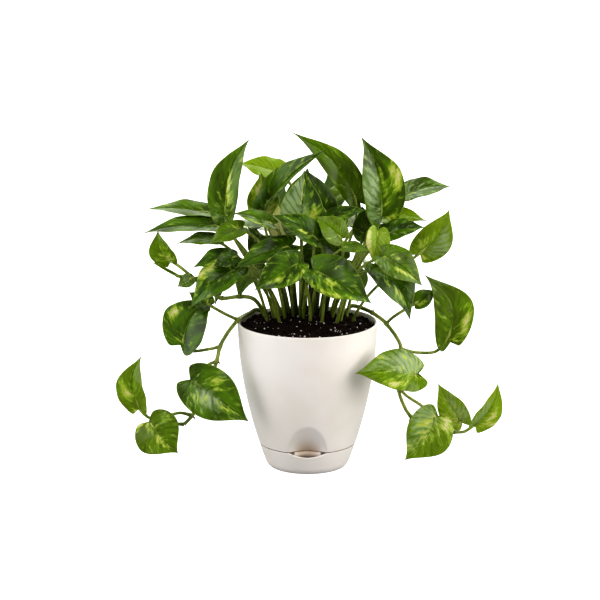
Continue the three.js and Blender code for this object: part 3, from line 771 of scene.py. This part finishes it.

# How each of those leaves is coloured: its tone from -1, dark, to 1, young, which also carries painted light
# and shade, lighter for a leaf lit through from behind and darker for leaves deep in the crown, and its cream
# and silver marks, if any; the silver marks are partly grey-green patches and partly painted sheen. A mark is
# (place across from -1 to 1, place along from 0 to 1, the reach each way, strength).
crownLooks = [
    (0.2, [(0.25, 0.66, 0.2, 0.14, 1.1), (0.5, 0.45, 0.2, 0.12, 0.6)], [(-0.6, 0.25, 0.4, 0.2, 0.8)]),
    # painted light: this leaf is lit through from behind, so its tone is high
    (0.85,),
    (-0.1, [(-0.3, 0.85, 0.2, 0.08, 0.7)], [(0.6, 0.7, 0.3, 0.3, 0.6)]),
    (0.5, [(0.2, 0.3, 0.9, 0.35, 1.3), (-0.4, 0.75, 0.6, 0.25, 1.3)]),
    (-0.1, [(-0.13, 0.8, 0.12, 0.14, 1.1), (0.55, 0.5, 0.22, 0.13, 0.95), (0.35, 0.92, 0.25, 0.06, 0.9)],
     [(-0.5, 0.45, 0.6, 0.5, 2.6)]),
    (-0.6, [(-0.6, 0.6, 0.2, 0.3, 0.5)]),
    (0.3, [], [(-0.3, 0.5, 0.4, 0.3, 0.3)]),
    (0.6, [(0.4, 0.5, 0.3, 0.3, 0.3)]),
    (0.15, [(0.84, 0.6, 0.24, 0.1, 1.15), (0.75, 0.16, 0.35, 0.12, 1), (0.2, 0.62, 0.14, 0.2, 0.7)],
     [(-0.55, 0.5, 0.5, 0.45, 1.3)]),
    (0.2, [(0.3, 0.5, 0.15, 0.1, 0.8)], [(0, 0.5, 1, 0.5, 0.9)]),
    (0.6, [(-0.2, 0.1, 0.6, 0.12, 1.3), (0.3, 0.5, 0.6, 0.35, 0.6)]),
    (0, [], [(0, 0.6, 0.8, 0.3, 0.6)]),
    (0.2, [], [(0, 0.5, 1, 0.5, 0.8)]),
    (0.6, [(0.5, 0.2, 0.5, 0.13, 1), (-0.3, 0.5, 0.2, 0.2, 0.8)], [(0.5, 0.62, 0.6, 0.3, 1.4)]),
    (0.25,),
    (0.1, [(-0.2, 0.3, 0.2, 0.1, 1.1)], [(-0.5, 0.5, 0.4, 0.4, 0.6)]),
    (0.35, [(0.3, 0.5, 0.3, 0.1, 0.6)]),
    (0.3, [(0, 0.8, 0.3, 0.1, 0.8)], [(0, 0.5, 1, 0.5, 1.3)]),
    (-0.2,),
    (-0.1, [(0.85, 0.55, 0.22, 0.2, 1.1)]),
    (-0.35, [(-0.75, 0.5, 0.14, 0.14, 1.2)]),
    (0.2, [(-0.93, 0.6, 0.14, 0.25, 0.9)]),
    (0.1, [(-0.5, 0.72, 0.25, 0.12, 0.9), (-0.75, 0.35, 0.2, 0.16, 0.9)]),
    (0.05, [(-0.4, 0.62, 0.14, 0.1, 0.9)]),
    (0.45, [], [(-0.4, 0.5, 0.5, 0.4, 0.5)]),
    (0.3,),
    (0, [(0.5, 0.6, 0.2, 0.2, 0.5)]),
    (0.9, [(0.8, 0.55, 0.25, 0.35, 1.6), (-0.3, 0.5, 0.4, 0.4, 0.4)]),
    (0.1, [(0.4, 0.62, 0.3, 0.12, 0.6), (0.86, 0.6, 0.12, 0.3, 0.7), (0.1, 0.42, 0.2, 0.1, 0.4)]),
    (-0.2, [(0.5, 0.75, 0.25, 0.1, 0.9)]),
    (0.3, [(0.5, 0.75, 0.2, 0.15, 1.1)], [(0.6, 0.5, 0.5, 0.5, 0.9)]),
    # rows 32 to 37 are dark fillers deep in the crown, their low tone painted shade
    (-0.8,),
    (-0.8,),
    (-0.7,),
    (-0.5,),
    (-0.7,),
    (-0.7,),
    (0.3, [(0, 0.5, 1.5, 0.8, 1.8)]),
]

crown = {
    # the leaves round the back, in tiers: count, sector in degrees from +X, base and tip as (radius,
    # height), width, how much the faces look up, and how far every other one stands out and down
    "tiers": [
        (5, (16, 164), (0.078, 0.228), (0.128, 0.176), 0.044, 0.6, 0.01),
        (5, (22, 158), (0.068, 0.272), (0.13, 0.262), 0.042, 1.0, 0.012),
        (3, (40, 140), (0.052, 0.296), (0.074, 0.344), 0.044, 0.2, 0.01),
    ],
    "tierFold": 18,
    "tierArch": 0.1,
    "tierSeed": 7,
    # a seeded draw colours them: the share of cream marks, the bounds of a mark's values and of the tone
    "lookSeed": 101,
    "creamShare": 0.7,
    "markBounds": ((-0.9, 0.9), (0.15, 0.85), (0.15, 0.4), (0.08, 0.25), (0.6, 1.2)),
    "toneBounds": (-0.3, 0.35),
    "rootSpread": (0.42, 0.3),  # across and in depth
    "rootsBehind": crownMiddle,
    "rootLimit": 0.06,
    "rootSpacing": 0.008,
    "rootPasses": 60,
}

blade = {
    "rows": 56,
    "columns": [0.0, 0.035, 0.08, 0.15, 0.25, 0.37, 0.5, 0.62, 0.74, 0.84, 0.92, 0.97, 1.0],
    "thickness": 0.00055,
    "cup": 0.16,
    "lobe": 0.17,
    "veinRelief": 0.00009,
    "midribDepth": 0.0004,
    "midribRidge": 0.0007,
    "wave": 0.022,
    # the heart-shaped margin from the notch to the drip tip, as shares of the half width and the length,
    # with the point on the midrib that each stretch of side veins springs from
    "margin": [(0, 0, 0), (0.2, -0.075, 0), (0.4, -0.118, 0.002), (0.6, -0.085, 0.006),
               (0.79, 0, 0.018), (0.93, 0.125, 0.045), (1, 0.28, 0.095), (0.965, 0.43, 0.17),
               (0.83, 0.56, 0.27), (0.63, 0.67, 0.38), (0.41, 0.77, 0.51), (0.2, 0.865, 0.66),
               (0.065, 0.945, 0.82), (0, 1, 1)],
}


def sighted(spot):
    # a point (across, up, depth) as the eye sees it, from millimetres to the part's own frame
    across, up, depth = (v / 1000 for v in spot)
    rise = up - eye["lookUp"]
    sin, cos = math.sin(eye["tilt"]), math.cos(eye["tilt"])
    away = (depth - rise * sin) / (cos + rise * sin / eye["distance"])
    spread = 1 + away / eye["distance"]
    return Vector((across * spread, depth, eye["lookHeight"] + spread * rise * cos - away * sin))


def throughPoints(points, values):
    # a smooth curve through points at 0, 1, 2, ..., read at each value
    table = np.array([points[0], *points, points[-1]], float)
    values = np.clip(np.array(values, float), 0, len(points) - 1 - 1e-9)
    i = values.astype(int)
    t = (values - i)[:, None]
    a, b, c, d = (table[i + k] for k in range(4))
    return 0.5 * (2 * b + (c - a) * t + (2 * a - 5 * b + 4 * c - d) * t**2 + (3 * b - a - 3 * c + d) * t**3)


class Leaf:
    # where a blade lies: its base, the way to its tip, its upper side and its right-hand side
    def __init__(self, base, tip, width, face, fold, arch, sweep=0.0):
        self.base, self.width, self.fold = base, width, math.radians(fold)
        self.length = (tip - base).length
        self.along = (tip - base).normalized()
        face = Vector(face)
        self.up = (face - self.along * self.along.dot(face)).normalized()
        self.side = self.along.cross(self.up)
        self.arch, self.sweep = arch, sweep

    def midrib(self, u):
        bow = math.sin(math.pi * u) * self.length
        place = self.base + self.along * (self.length * u)
        return place + self.up * (self.arch * bow) + self.side * (self.sweep * bow)

    def sheet(self, draw):
        # the middle surface as a grid of points, rows along the leaf and columns across it
        knots = len(blade["margin"]) - 1
        s = np.linspace(0, 1, blade["rows"] + 1)
        edge = throughPoints(blade["margin"], s * knots)
        half = [-v for v in reversed(blade["columns"][1:])] + blade["columns"]
        v = np.array(half)[None, :]
        reach = np.abs(v)
        x = edge[:, 0:1] * reach
        y = edge[:, 2:3] + (edge[:, 1:2] - edge[:, 2:3]) * reach**1.6
        u = np.clip(y + 0.1, 0, 1)
        for _ in range(5):
            u = np.clip(0.5 * u + 0.5 * (y + blade["lobe"] * reach**2 * (1 - u) ** 4), 0, 1)
        bow = np.sin(math.pi * u) * self.length
        out = self.width / 2 * x
        waves = np.sin(y * 11 + draw * 40 + np.sign(v) * 1.3) + 0.6 * np.sin(y * 19 + draw * 90)
        lift = out * (math.sin(self.fold) - blade["cup"] * reach) + self.arch * bow
        lift += blade["wave"] * self.width * waves * reach**2.5 * np.sin(math.pi * s)[:, None]
        veins = np.cos(2 * math.pi * s * leafLook["veins"])[:, None]
        lift -= blade["veinRelief"] * veins * np.sin(math.pi * reach**0.8) * min(1.0, self.width / 0.04)
        lift -= blade["midribDepth"] * np.exp(-(reach / 0.06) ** 2)
        away = np.sign(v) * out * math.cos(self.fold) + self.sweep * bow
        grid = np.array(self.base) + np.array(self.along) * (y * self.length)[..., None]
        grid = grid + np.array(self.up) * lift[..., None] + np.array(self.side) * away[..., None]
        return grid, s, np.array(half)


def sightedLeaf(base, tip, width, *rest):
    return Leaf(sighted(base), sighted(tip), width / 1000, *rest)


def markStrength(marks, s, v):
    total = np.zeros((len(s), len(v)))
    for across, along, reachV, reachS, strength in marks:
        far = ((v[None, :] - across) / reachV) ** 2 + ((s[:, None] - along) / reachS) ** 2
        total = np.maximum(total, strength * np.exp(-far * 0.9))
    return total


def randomMarks(pick):
    marks = {"cream": [], "silverAndSheen": []}
    for _ in range(pick.choice((1, 2, 2, 3))):
        # silver marks are partly grey-green patches and partly painted sheen
        kind = "cream" if pick.random() < crown["creamShare"] else "silverAndSheen"
        marks[kind].append([pick.uniform(low, high) for low, high in crown["markBounds"]])
    return marks.values()


def makeBlade(name, leaf, look, draw):
    grid, s, v = leaf.sheet(draw)
    rows, columns = grid.shape[:2]
    downRow, acrossRow = np.gradient(grid, axis=0), np.gradient(grid, axis=1)
    normal = np.cross(downRow, acrossRow)
    normal /= np.maximum(np.linalg.norm(normal, axis=2, keepdims=True), 1e-12)
    middle = normal[rows // 2, columns // 2]
    if middle @ np.array(leaf.up) < 0:
        normal = -normal
    normal[0] = normal[-1] = np.array(leaf.up)  # so that the two halves meet in one line at either end
    reach = np.abs(v)[None, :, None]
    half = blade["thickness"] / 2 * (1 - 0.5 * reach**6)
    ridge = blade["midribRidge"] * np.exp(-(reach / 0.05) ** 2) * (1 - s)[:, None, None]
    top, bottom = grid + normal * half, grid - normal * (half + ridge)
    verts = np.concatenate([top.reshape(-1, 3), bottom.reshape(-1, 3)])
    count = rows * columns
    faces = []
    for r in range(rows - 1):
        for c in range(columns - 1):
            a, b = r * columns + c, r * columns + c + 1
            d, e = a + columns, b + columns
            faces += [(a, b, e, d), (a + count, d + count, e + count, b + count)]
        for c in (0, columns - 1):
            a, d = r * columns + c, (r + 1) * columns + c
            faces.append((a, d, d + count, a + count) if c == 0 else (a, a + count, d + count, d))
    mesh = newMesh(name, verts.tolist(), faces)

    flat = np.stack(np.broadcast_arrays(s[:, None], 0.5 + 0.5 * v[None, :]), axis=2).reshape(-1, 2)
    corners = np.array([loop.vertex_index for loop in mesh.loops])
    layer = mesh.uv_layers.new(name="blade")
    layer.data.foreach_set("uv", np.concatenate([flat, flat])[corners].ravel())
    tone, *marks = (*look, (), ())[:3]
    cream, silverAndSheen = (np.tile(markStrength(kind, s, v).ravel(), 2) for kind in marks)
    under = np.repeat([0, 1], count)
    values = {"cream": cream, "silverAndSheen": silverAndSheen, "tone": tone, "under": under, "draw": draw}
    for key, numbers in values.items():
        field = mesh.attributes.new(key, "FLOAT", "POINT")
        field.data.foreach_set("value", np.full(2 * count, numbers, float))
    closeMesh(mesh)
    return makeObject(name, mesh, [leafSkin])


stalk = {
    "petiole": 0.0017,
    "vinePetiole": 0.0019,
    "stem": 0.0023,
    "rootDepth": 0.009,
    "groundClearance": 0.004,
    "rise": 0.4,
    "bend": 0.3,
    "join": 0.08,
    "sink": 0.0002,
    "arrival": (0.7, 0.45, 0.35),  # straight from the ground, along the blade, level
    "sides": 12,
    "steps": 24,
    "vineSteps": 7,
    "stemSteps": 6,
    "stemLean": 20,  # how much a vine leans out of the soil, for each metre to its next point
    "tongue": 0.2,  # a petiole thins out along the blade up to here
    "tongueSink": 0.0004,
    "tongueEnd": 0.35,
    "nub": 0.0012,
    "nubReach": (0.005, 0.0012),  # away from the stem and down
    "nubArch": 0.0003,
    "nubShares": (1.0, 0.8, 0.4),
}


def stalkTree():
    # a round stalk along a curve, as thick as the curve's own radius says
    tree, given = startTree("roundStalk", {"Thickness": "Float", "Sides": "Int", "Skin": "Material"})
    share = addNode(tree, "GeometryNodeSplineParameter")
    marked = addNode(tree, "GeometryNodeStoreNamedAttribute", {
        "Geometry": given["Geometry"], "Name": "rise", "Value": share}, data_type="FLOAT", domain="POINT")
    ring = addNode(tree, "GeometryNodeCurvePrimitiveCircle", {
        "Resolution": given["Sides"], "Radius": given["Thickness"]})
    radius = addNode(tree, "GeometryNodeInputRadius")
    tube = addNode(tree, "GeometryNodeCurveToMesh", {
        "Curve": marked, "Profile Curve": ring, "Scale": radius, "Fill Caps": True})
    smooth = addNode(tree, "GeometryNodeSetShadeSmooth", {"Geometry": tube})
    return endTree(tree, smooth, given["Skin"])


tubeTree = stalkTree()


def makeStalk(name, places, shares, thickness, skin=None):
    # shares gives the thickness along the stalk, as a share of the full one
    curve = bpy.data.curves.new(name, "CURVE")
    curve.dimensions = "3D"
    spline = curve.splines.new("POLY")
    spline.points.add(len(places) - 1)
    for point, place, share in zip(spline.points, places, shares):
        point.co = (*place, 1)
        point.radius = share
    path = makeObject(name + "Path", curve)
    values = {"Thickness": thickness, "Sides": stalk["sides"], "Skin": skin or stalkSkin}
    mesh = runTree(path, tubeTree, values)
    bpy.data.objects.remove(path)
    closeMesh(mesh)
    return makeObject(name, mesh)


def rootedAt(place, lean):
    rise = Vector((*lean, 1)).normalized()
    ground = Vector((*place, soilHeight(*place) + stalk["groundClearance"]))
    return ground - rise * (stalk["rootDepth"] + stalk["groundClearance"]), ground, rise


def rootPlaces(bases):
    limit = crown["rootLimit"]

    def held(place, least=0.0):
        size = place.length
        return place * (min(max(size, least), limit) / size) if size > 0 else place

    across, deep = crown["rootSpread"]
    least = crown["rootSpacing"] / 2
    places = [Vector((base.x * across, base.y * deep + crown["rootsBehind"])) for base in bases]
    places = [held(place, least) for place in places]
    for _ in range(crown["rootPasses"]):
        for i in range(len(places)):
            for j in range(i):
                apart = places[i] - places[j]
                short = crown["rootSpacing"] - apart.length
                if short > 0:
                    apart = apart.normalized() * (short / 2)
                    places[i] = held(places[i] + apart)
                    places[j] = held(places[j] - apart)
    return places


def petioleEnd(leaf):
    return leaf.midrib(stalk["join"]) - leaf.up * stalk["sink"]


def swelling(t):
    # a petiole is stoutest at its sheath, slim above, and thickens again at the knee under the blade
    return 1.3 - 0.35 * min(1.0, t * 5) + 0.25 * math.exp(-((t - 0.93) / 0.045) ** 2)


def makePetiole(name, path, leaf, thickness):
    path.append(leaf.midrib(stalk["tongue"]) - leaf.up * stalk["tongueSink"])
    last = len(path) - 1
    shares = [swelling(i / last) for i in range(last)] + [stalk["tongueEnd"]]
    return makeStalk(name, path, shares, thickness)


def petiolePath(leaf, place):
    base = leaf.base
    lean = (Vector(base[:2]) - place) / (2 * (base.z - soil["edgeHeight"]))
    foot, ground, rise = rootedAt(place, lean)
    end = petioleEnd(leaf)
    reach = (end - ground).length
    straight, along, level = stalk["arrival"]
    arrival = (end - ground) * (straight / reach) + leaf.along * along
    arrival = (arrival + Vector((leaf.along.x, leaf.along.y, 0)) * level).normalized()
    risen, bent = ground + rise * (reach * stalk["rise"]), end - arrival * (reach * stalk["bend"])
    path = [foot, foot.lerp(ground, 0.5)]
    for t in stepsBetween(0, 1, stalk["steps"]):
        left = 1 - t
        path.append(ground * left**3 + risen * 3 * t * left**2 + bent * 3 * t * t * left + end * t**3)
    return path


def makeCrownLeaf(number, leaf, place, look, draw):
    name = f"crownLeaf{number:02d}"
    stem = makePetiole(name + "Petiole", petiolePath(leaf, place), leaf, stalk["petiole"])
    piece = joined(name, [makeBlade(name, leaf, look, draw), stem])
    settle(piece, f"crown_leaf_{number:02d}")


def tierLeaves():
    state = crown["tierSeed"]

    def draw():
        nonlocal state
        state = state * 16807 % 2147483647
        return state / 2147483647 - 0.5

    def around(angle, radius, height):
        return Vector((radius * math.cos(angle), radius * math.sin(angle), height))

    made = []
    for count, (low, high), base, tip, width, rise, stagger in crown["tiers"]:
        for i in range(count):
            angle = math.radians(low + (high - low) * (i + 0.5 + 0.3 * draw()) / count)
            swing = 0.35 * draw()
            shift = stagger if i % 2 else 0
            start = around(angle, base[0] + shift + 0.004 * draw(), base[1] - shift + 0.006 * draw())
            end = around(angle + swing, tip[0] + shift / 2 + 0.01 * draw(), tip[1] - shift + 0.012 * draw())
            face = (math.cos(angle), math.sin(angle), rise)
            wide = width + 0.008 * draw()
            made.append(Leaf(start, end, wide, face, crown["tierFold"], crown["tierArch"], 0.08 * draw()))
    return made


def makeCrown():
    leaves = [sightedLeaf(*row) for row in crownLeaves] + tierLeaves()
    places = rootPlaces([leaf.base for leaf in leaves])
    for i, (leaf, place) in enumerate(zip(leaves, places)):
        pick = random.Random(crown["lookSeed"] + i)
        listed = i < len(crownLooks)
        marks = () if listed else randomMarks(pick)
        drawn = (pick.uniform(*crown["toneBounds"]), *marks)
        makeCrownLeaf(i + 1, leaf, place, crownLooks[i] if listed else drawn, pick.random())
    print("crown of", len(leaves), "leaves made")


makeCrown()


# Each trailing stem, in millimetres as the eye sees them: the points it runs through, those with a dried
# root, and its leaves. A leaf has the point it springs from, the places its petiole passes, a row as in
# crownLeaves and one as in crownLooks.
vines = [{
    "node": "left_trailing_vine",
    "name": "leftVine",
    "route": [(-50, 180, 48), (-58, 179, 44), (-66, 175, 33), (-73.7, 171.3, 17), (-79.4, 167.3, -5),
              (-87.4, 158, -16), (-93, 150, -24), (-100, 137, -32), (-104, 120, -35),
              (-111, 100, -36), (-122, 76, -38), (-132, 58, -40), (-141, 48, -41)],
    "nubs": [4, 7, 8, 11],
    "leaves": [
        (7, [(-112, 134, -34), (-134, 132, -34)],
         ((-143, 138, -34), (-107, 192, -20), 62, (-0.4, -0.85, 0.15), 26, 0.06, -0.14),
         (0, [(-0.72, 0.6, 0.16, 0.1, 1.3), (-0.2, 0.4, 0.12, 0.12, 0.5)])),
        (8, [(-116, 114, -46)], ((-134, 99, -56), (-67, 51, -66), 60, (0, -0.95, 0.35), 14, 0.07),
         (0.15, [(0.4, 0.55, 0.3, 0.1, 0.8), (0.35, 0.8, 0.35, 0.1, 0.8),
          (-0.5, 0.6, 0.25, 0.09, 0.85)], [(0.3, 0.65, 0.5, 0.2, 1.7)])),
        (11, [(-146, 61, -40), (-164, 57, -40), (-182, 56, -40)],
         ((-191, 66, -40), (-190, 126, -38), 42, (-0.45, -0.85, 0.1), 24, 0.06, -0.16),
         (0.5, [(-0.5, 0.55, 0.35, 0.12, 1.1), (-0.6, 0.15, 0.3, 0.12, 1)])),
        (12, [(-158, 49, -42), (-172, 51, -46)],
         ((-181, 51, -50), (-148, 15, -56), 56, (0, -0.9, 0.4), 14, 0.1, 0.05),
         (0.4, [(0.85, 0.12, 0.25, 0.12, 1.3), (0.15, 0.32, 0.14, 0.2, 1.1),
          (0.3, 0.75, 0.4, 0.15, 0.7)])),
        (4, [(-96, 175, -18)], ((-112, 184, -26), (-136, 199, -30), 24, (-0.3, -0.8, 0.5), 16, 0.08),
         (0.1, [(0.3, 0.5, 0.3, 0.2, 0.8)])),
    ],
}, {
    "node": "right_trailing_vine",
    "name": "rightVine",
    "route": [(44, 178, 42), (50, 183, 43), (59, 182, 42), (67, 179, 39), (74, 175.6, 31),
              (83, 169.4, 18), (90, 163, 6), (102, 147, -6), (107, 134, -12), (107, 112, -20),
              (104, 90, -22), (109, 72, -24), (119, 56, -26), (142, 41, -27), (168, 39, -26)],
    "nubs": [4, 6, 8, 9, 10, 12, 13],
    "leaves": [
        (8, [(126, 130, -12), (148, 132, -13)],
         ((159, 143, -14), (133, 219, -6), 50, (0.1, -0.95, 0.2), 16, 0.14, 0.22),
         (0.35, [(0.7, 0.45, 0.22, 0.14, 1.3), (0.4, 0.22, 0.25, 0.1, 1.1)])),
        (9, [(116, 112, -34)], ((126, 105, -46), (54, 106, -70), 56, (0, -0.75, 0.65), 16, 0.1),
         (0.45, [(-0.78, 0.62, 0.22, 0.1, 1.3), (0.1, 0.45, 0.9, 0.5, 0.5)],
          [(0.4, 0.45, 0.6, 0.4, 1.9)])),
        (10, [(114, 80, -30), (132, 68, -36)],
         ((148, 58, -42), (111, 7, -50), 56, (0, -0.95, 0.3), 16, 0.08, -0.08),
         (0.5, [(-0.6, 0.3, 0.4, 0.2, 1.2), (0.3, 0.6, 0.9, 0.5, 0.6)], [(0.5, 0.45, 0.6, 0.4, 1.9)])),
        (13, [(164, 47, -32)], ((177, 50, -34), (149, 95, -28), 36, (-0.5, -0.7, 0.4), 22, 0.08),
         (0.9, [(-0.2, 0.35, 0.9, 0.5, 0.75)], [(0.3, 0.5, 0.7, 0.5, 1.5)])),
        (14, [(180, 40, -24)], ((191, 47, -24), (218, 96, -20), 34, (0.5, -0.8, 0.2), 26, 0.06, 0.1),
         (0.8, [(0.55, 0.5, 0.45, 0.35, 1)], [(-0.5, 0.5, 0.5, 0.4, 1.5)])),
        (6, [(100, 172, 0)], ((123, 186, -8), (147, 201, -4), 22, (0.2, -0.8, 0.5), 16, 0.08),
         (0.2, [(0.4, 0.5, 0.3, 0.2, 0.8)])),
    ],
}, {
    "node": "upper_left_shoot",
    "name": "upperShoot",
    "route": [(-46, 178, 4), (-60, 190, -4), (-77, 194, -14), (-98, 192, -22), (-110, 199, -25),
              (-134, 218, -28)],
    "nubs": [2, 3],
    "leaves": [
        (5, [(-146, 228, -28)],
         ((-156, 234, -28), (-171, 270, -26), 30, (-0.4, -0.85, 0.3), 20, 0.06, -0.16),
         (0.4, [(0.2, 0.5, 0.5, 0.25, 0.9)])),
        (5, [(-140, 217, -32)], ((-146, 216, -34), (-181, 235, -36), 7, (0, -0.9, 0.4), 60, 0),
         (0.5,)),
        (4, [(-122, 214, -30)], ((-132, 215, -34), (-149, 205, -36), 17, (0, -0.85, 0.5), 14, 0.1),
         (0.3, [], [(0, 0.5, 0.9, 0.5, 1)])),
    ],
}]


def smoothRun(points, steps):
    # places along a smooth curve through the points
    values = [i / steps for i in range(steps * (len(points) - 1) + 1)]
    return [Vector(p) for p in throughPoints([tuple(p) for p in points], values)]


def makeNub(name, place, away):
    # a short dried aerial root at a node of the stem
    reach, drop = stalk["nubReach"]
    end = place + away * reach + Vector((0, 0, -drop))
    path = [place, place.lerp(end, 0.5) + Vector((0, 0, stalk["nubArch"])), end]
    return makeStalk(name, path, stalk["nubShares"], stalk["nub"], rootSkin)


def makeVine(vine):
    steps, name = stalk["stemSteps"], vine["name"]
    points = [sighted(p) for p in vine["route"]]
    foot, ground, _ = rootedAt(points[0].xy, (points[1] - points[0]).xy * stalk["stemLean"])
    run = [foot, ground, *points[1:]]
    places = smoothRun(run, steps)
    joints = [leaf[0] + 1 for leaf in vine["leaves"]] + [n + 1 for n in vine["nubs"]]
    shares = []
    for i in range(len(places)):
        at = i / steps
        swell = max(math.exp(-((at - j) / 0.16) ** 2) for j in joints)
        shares.append((1.08 - 0.25 * at / len(run)) * (1 + 0.32 * swell))
    parts = [makeStalk(name + "Stem", places, shares, stalk["stem"])]
    pick = random.Random(name)
    for number, (source, petiole, row, look) in enumerate(vine["leaves"], 1):
        leaf = sightedLeaf(*row)
        path = [points[source], *[sighted(p) for p in petiole], petioleEnd(leaf)]
        path = smoothRun(path, stalk["vineSteps"])
        parts.append(makePetiole("petiole", path, leaf, stalk["vinePetiole"]))
        settle(makeBlade(f"{name}Leaf{number}", leaf, look, pick.random()), vine["node"])
    for n in vine["nubs"]:
        ahead = (points[min(n + 1, len(points) - 1)] - points[n - 1]).normalized()
        away = ahead.cross(Vector((0, 1, 0))).normalized() * pick.choice((-1, 1))
        parts.append(makeNub("nub", points[n], (away + Vector((0, -0.4, 0))).normalized()))
    settle(joined(name + "Stem", parts), vine["node"])
    print(name, "made with", len(vine["leaves"]), "leaves")


for vine in vines:
    makeVine(vine)
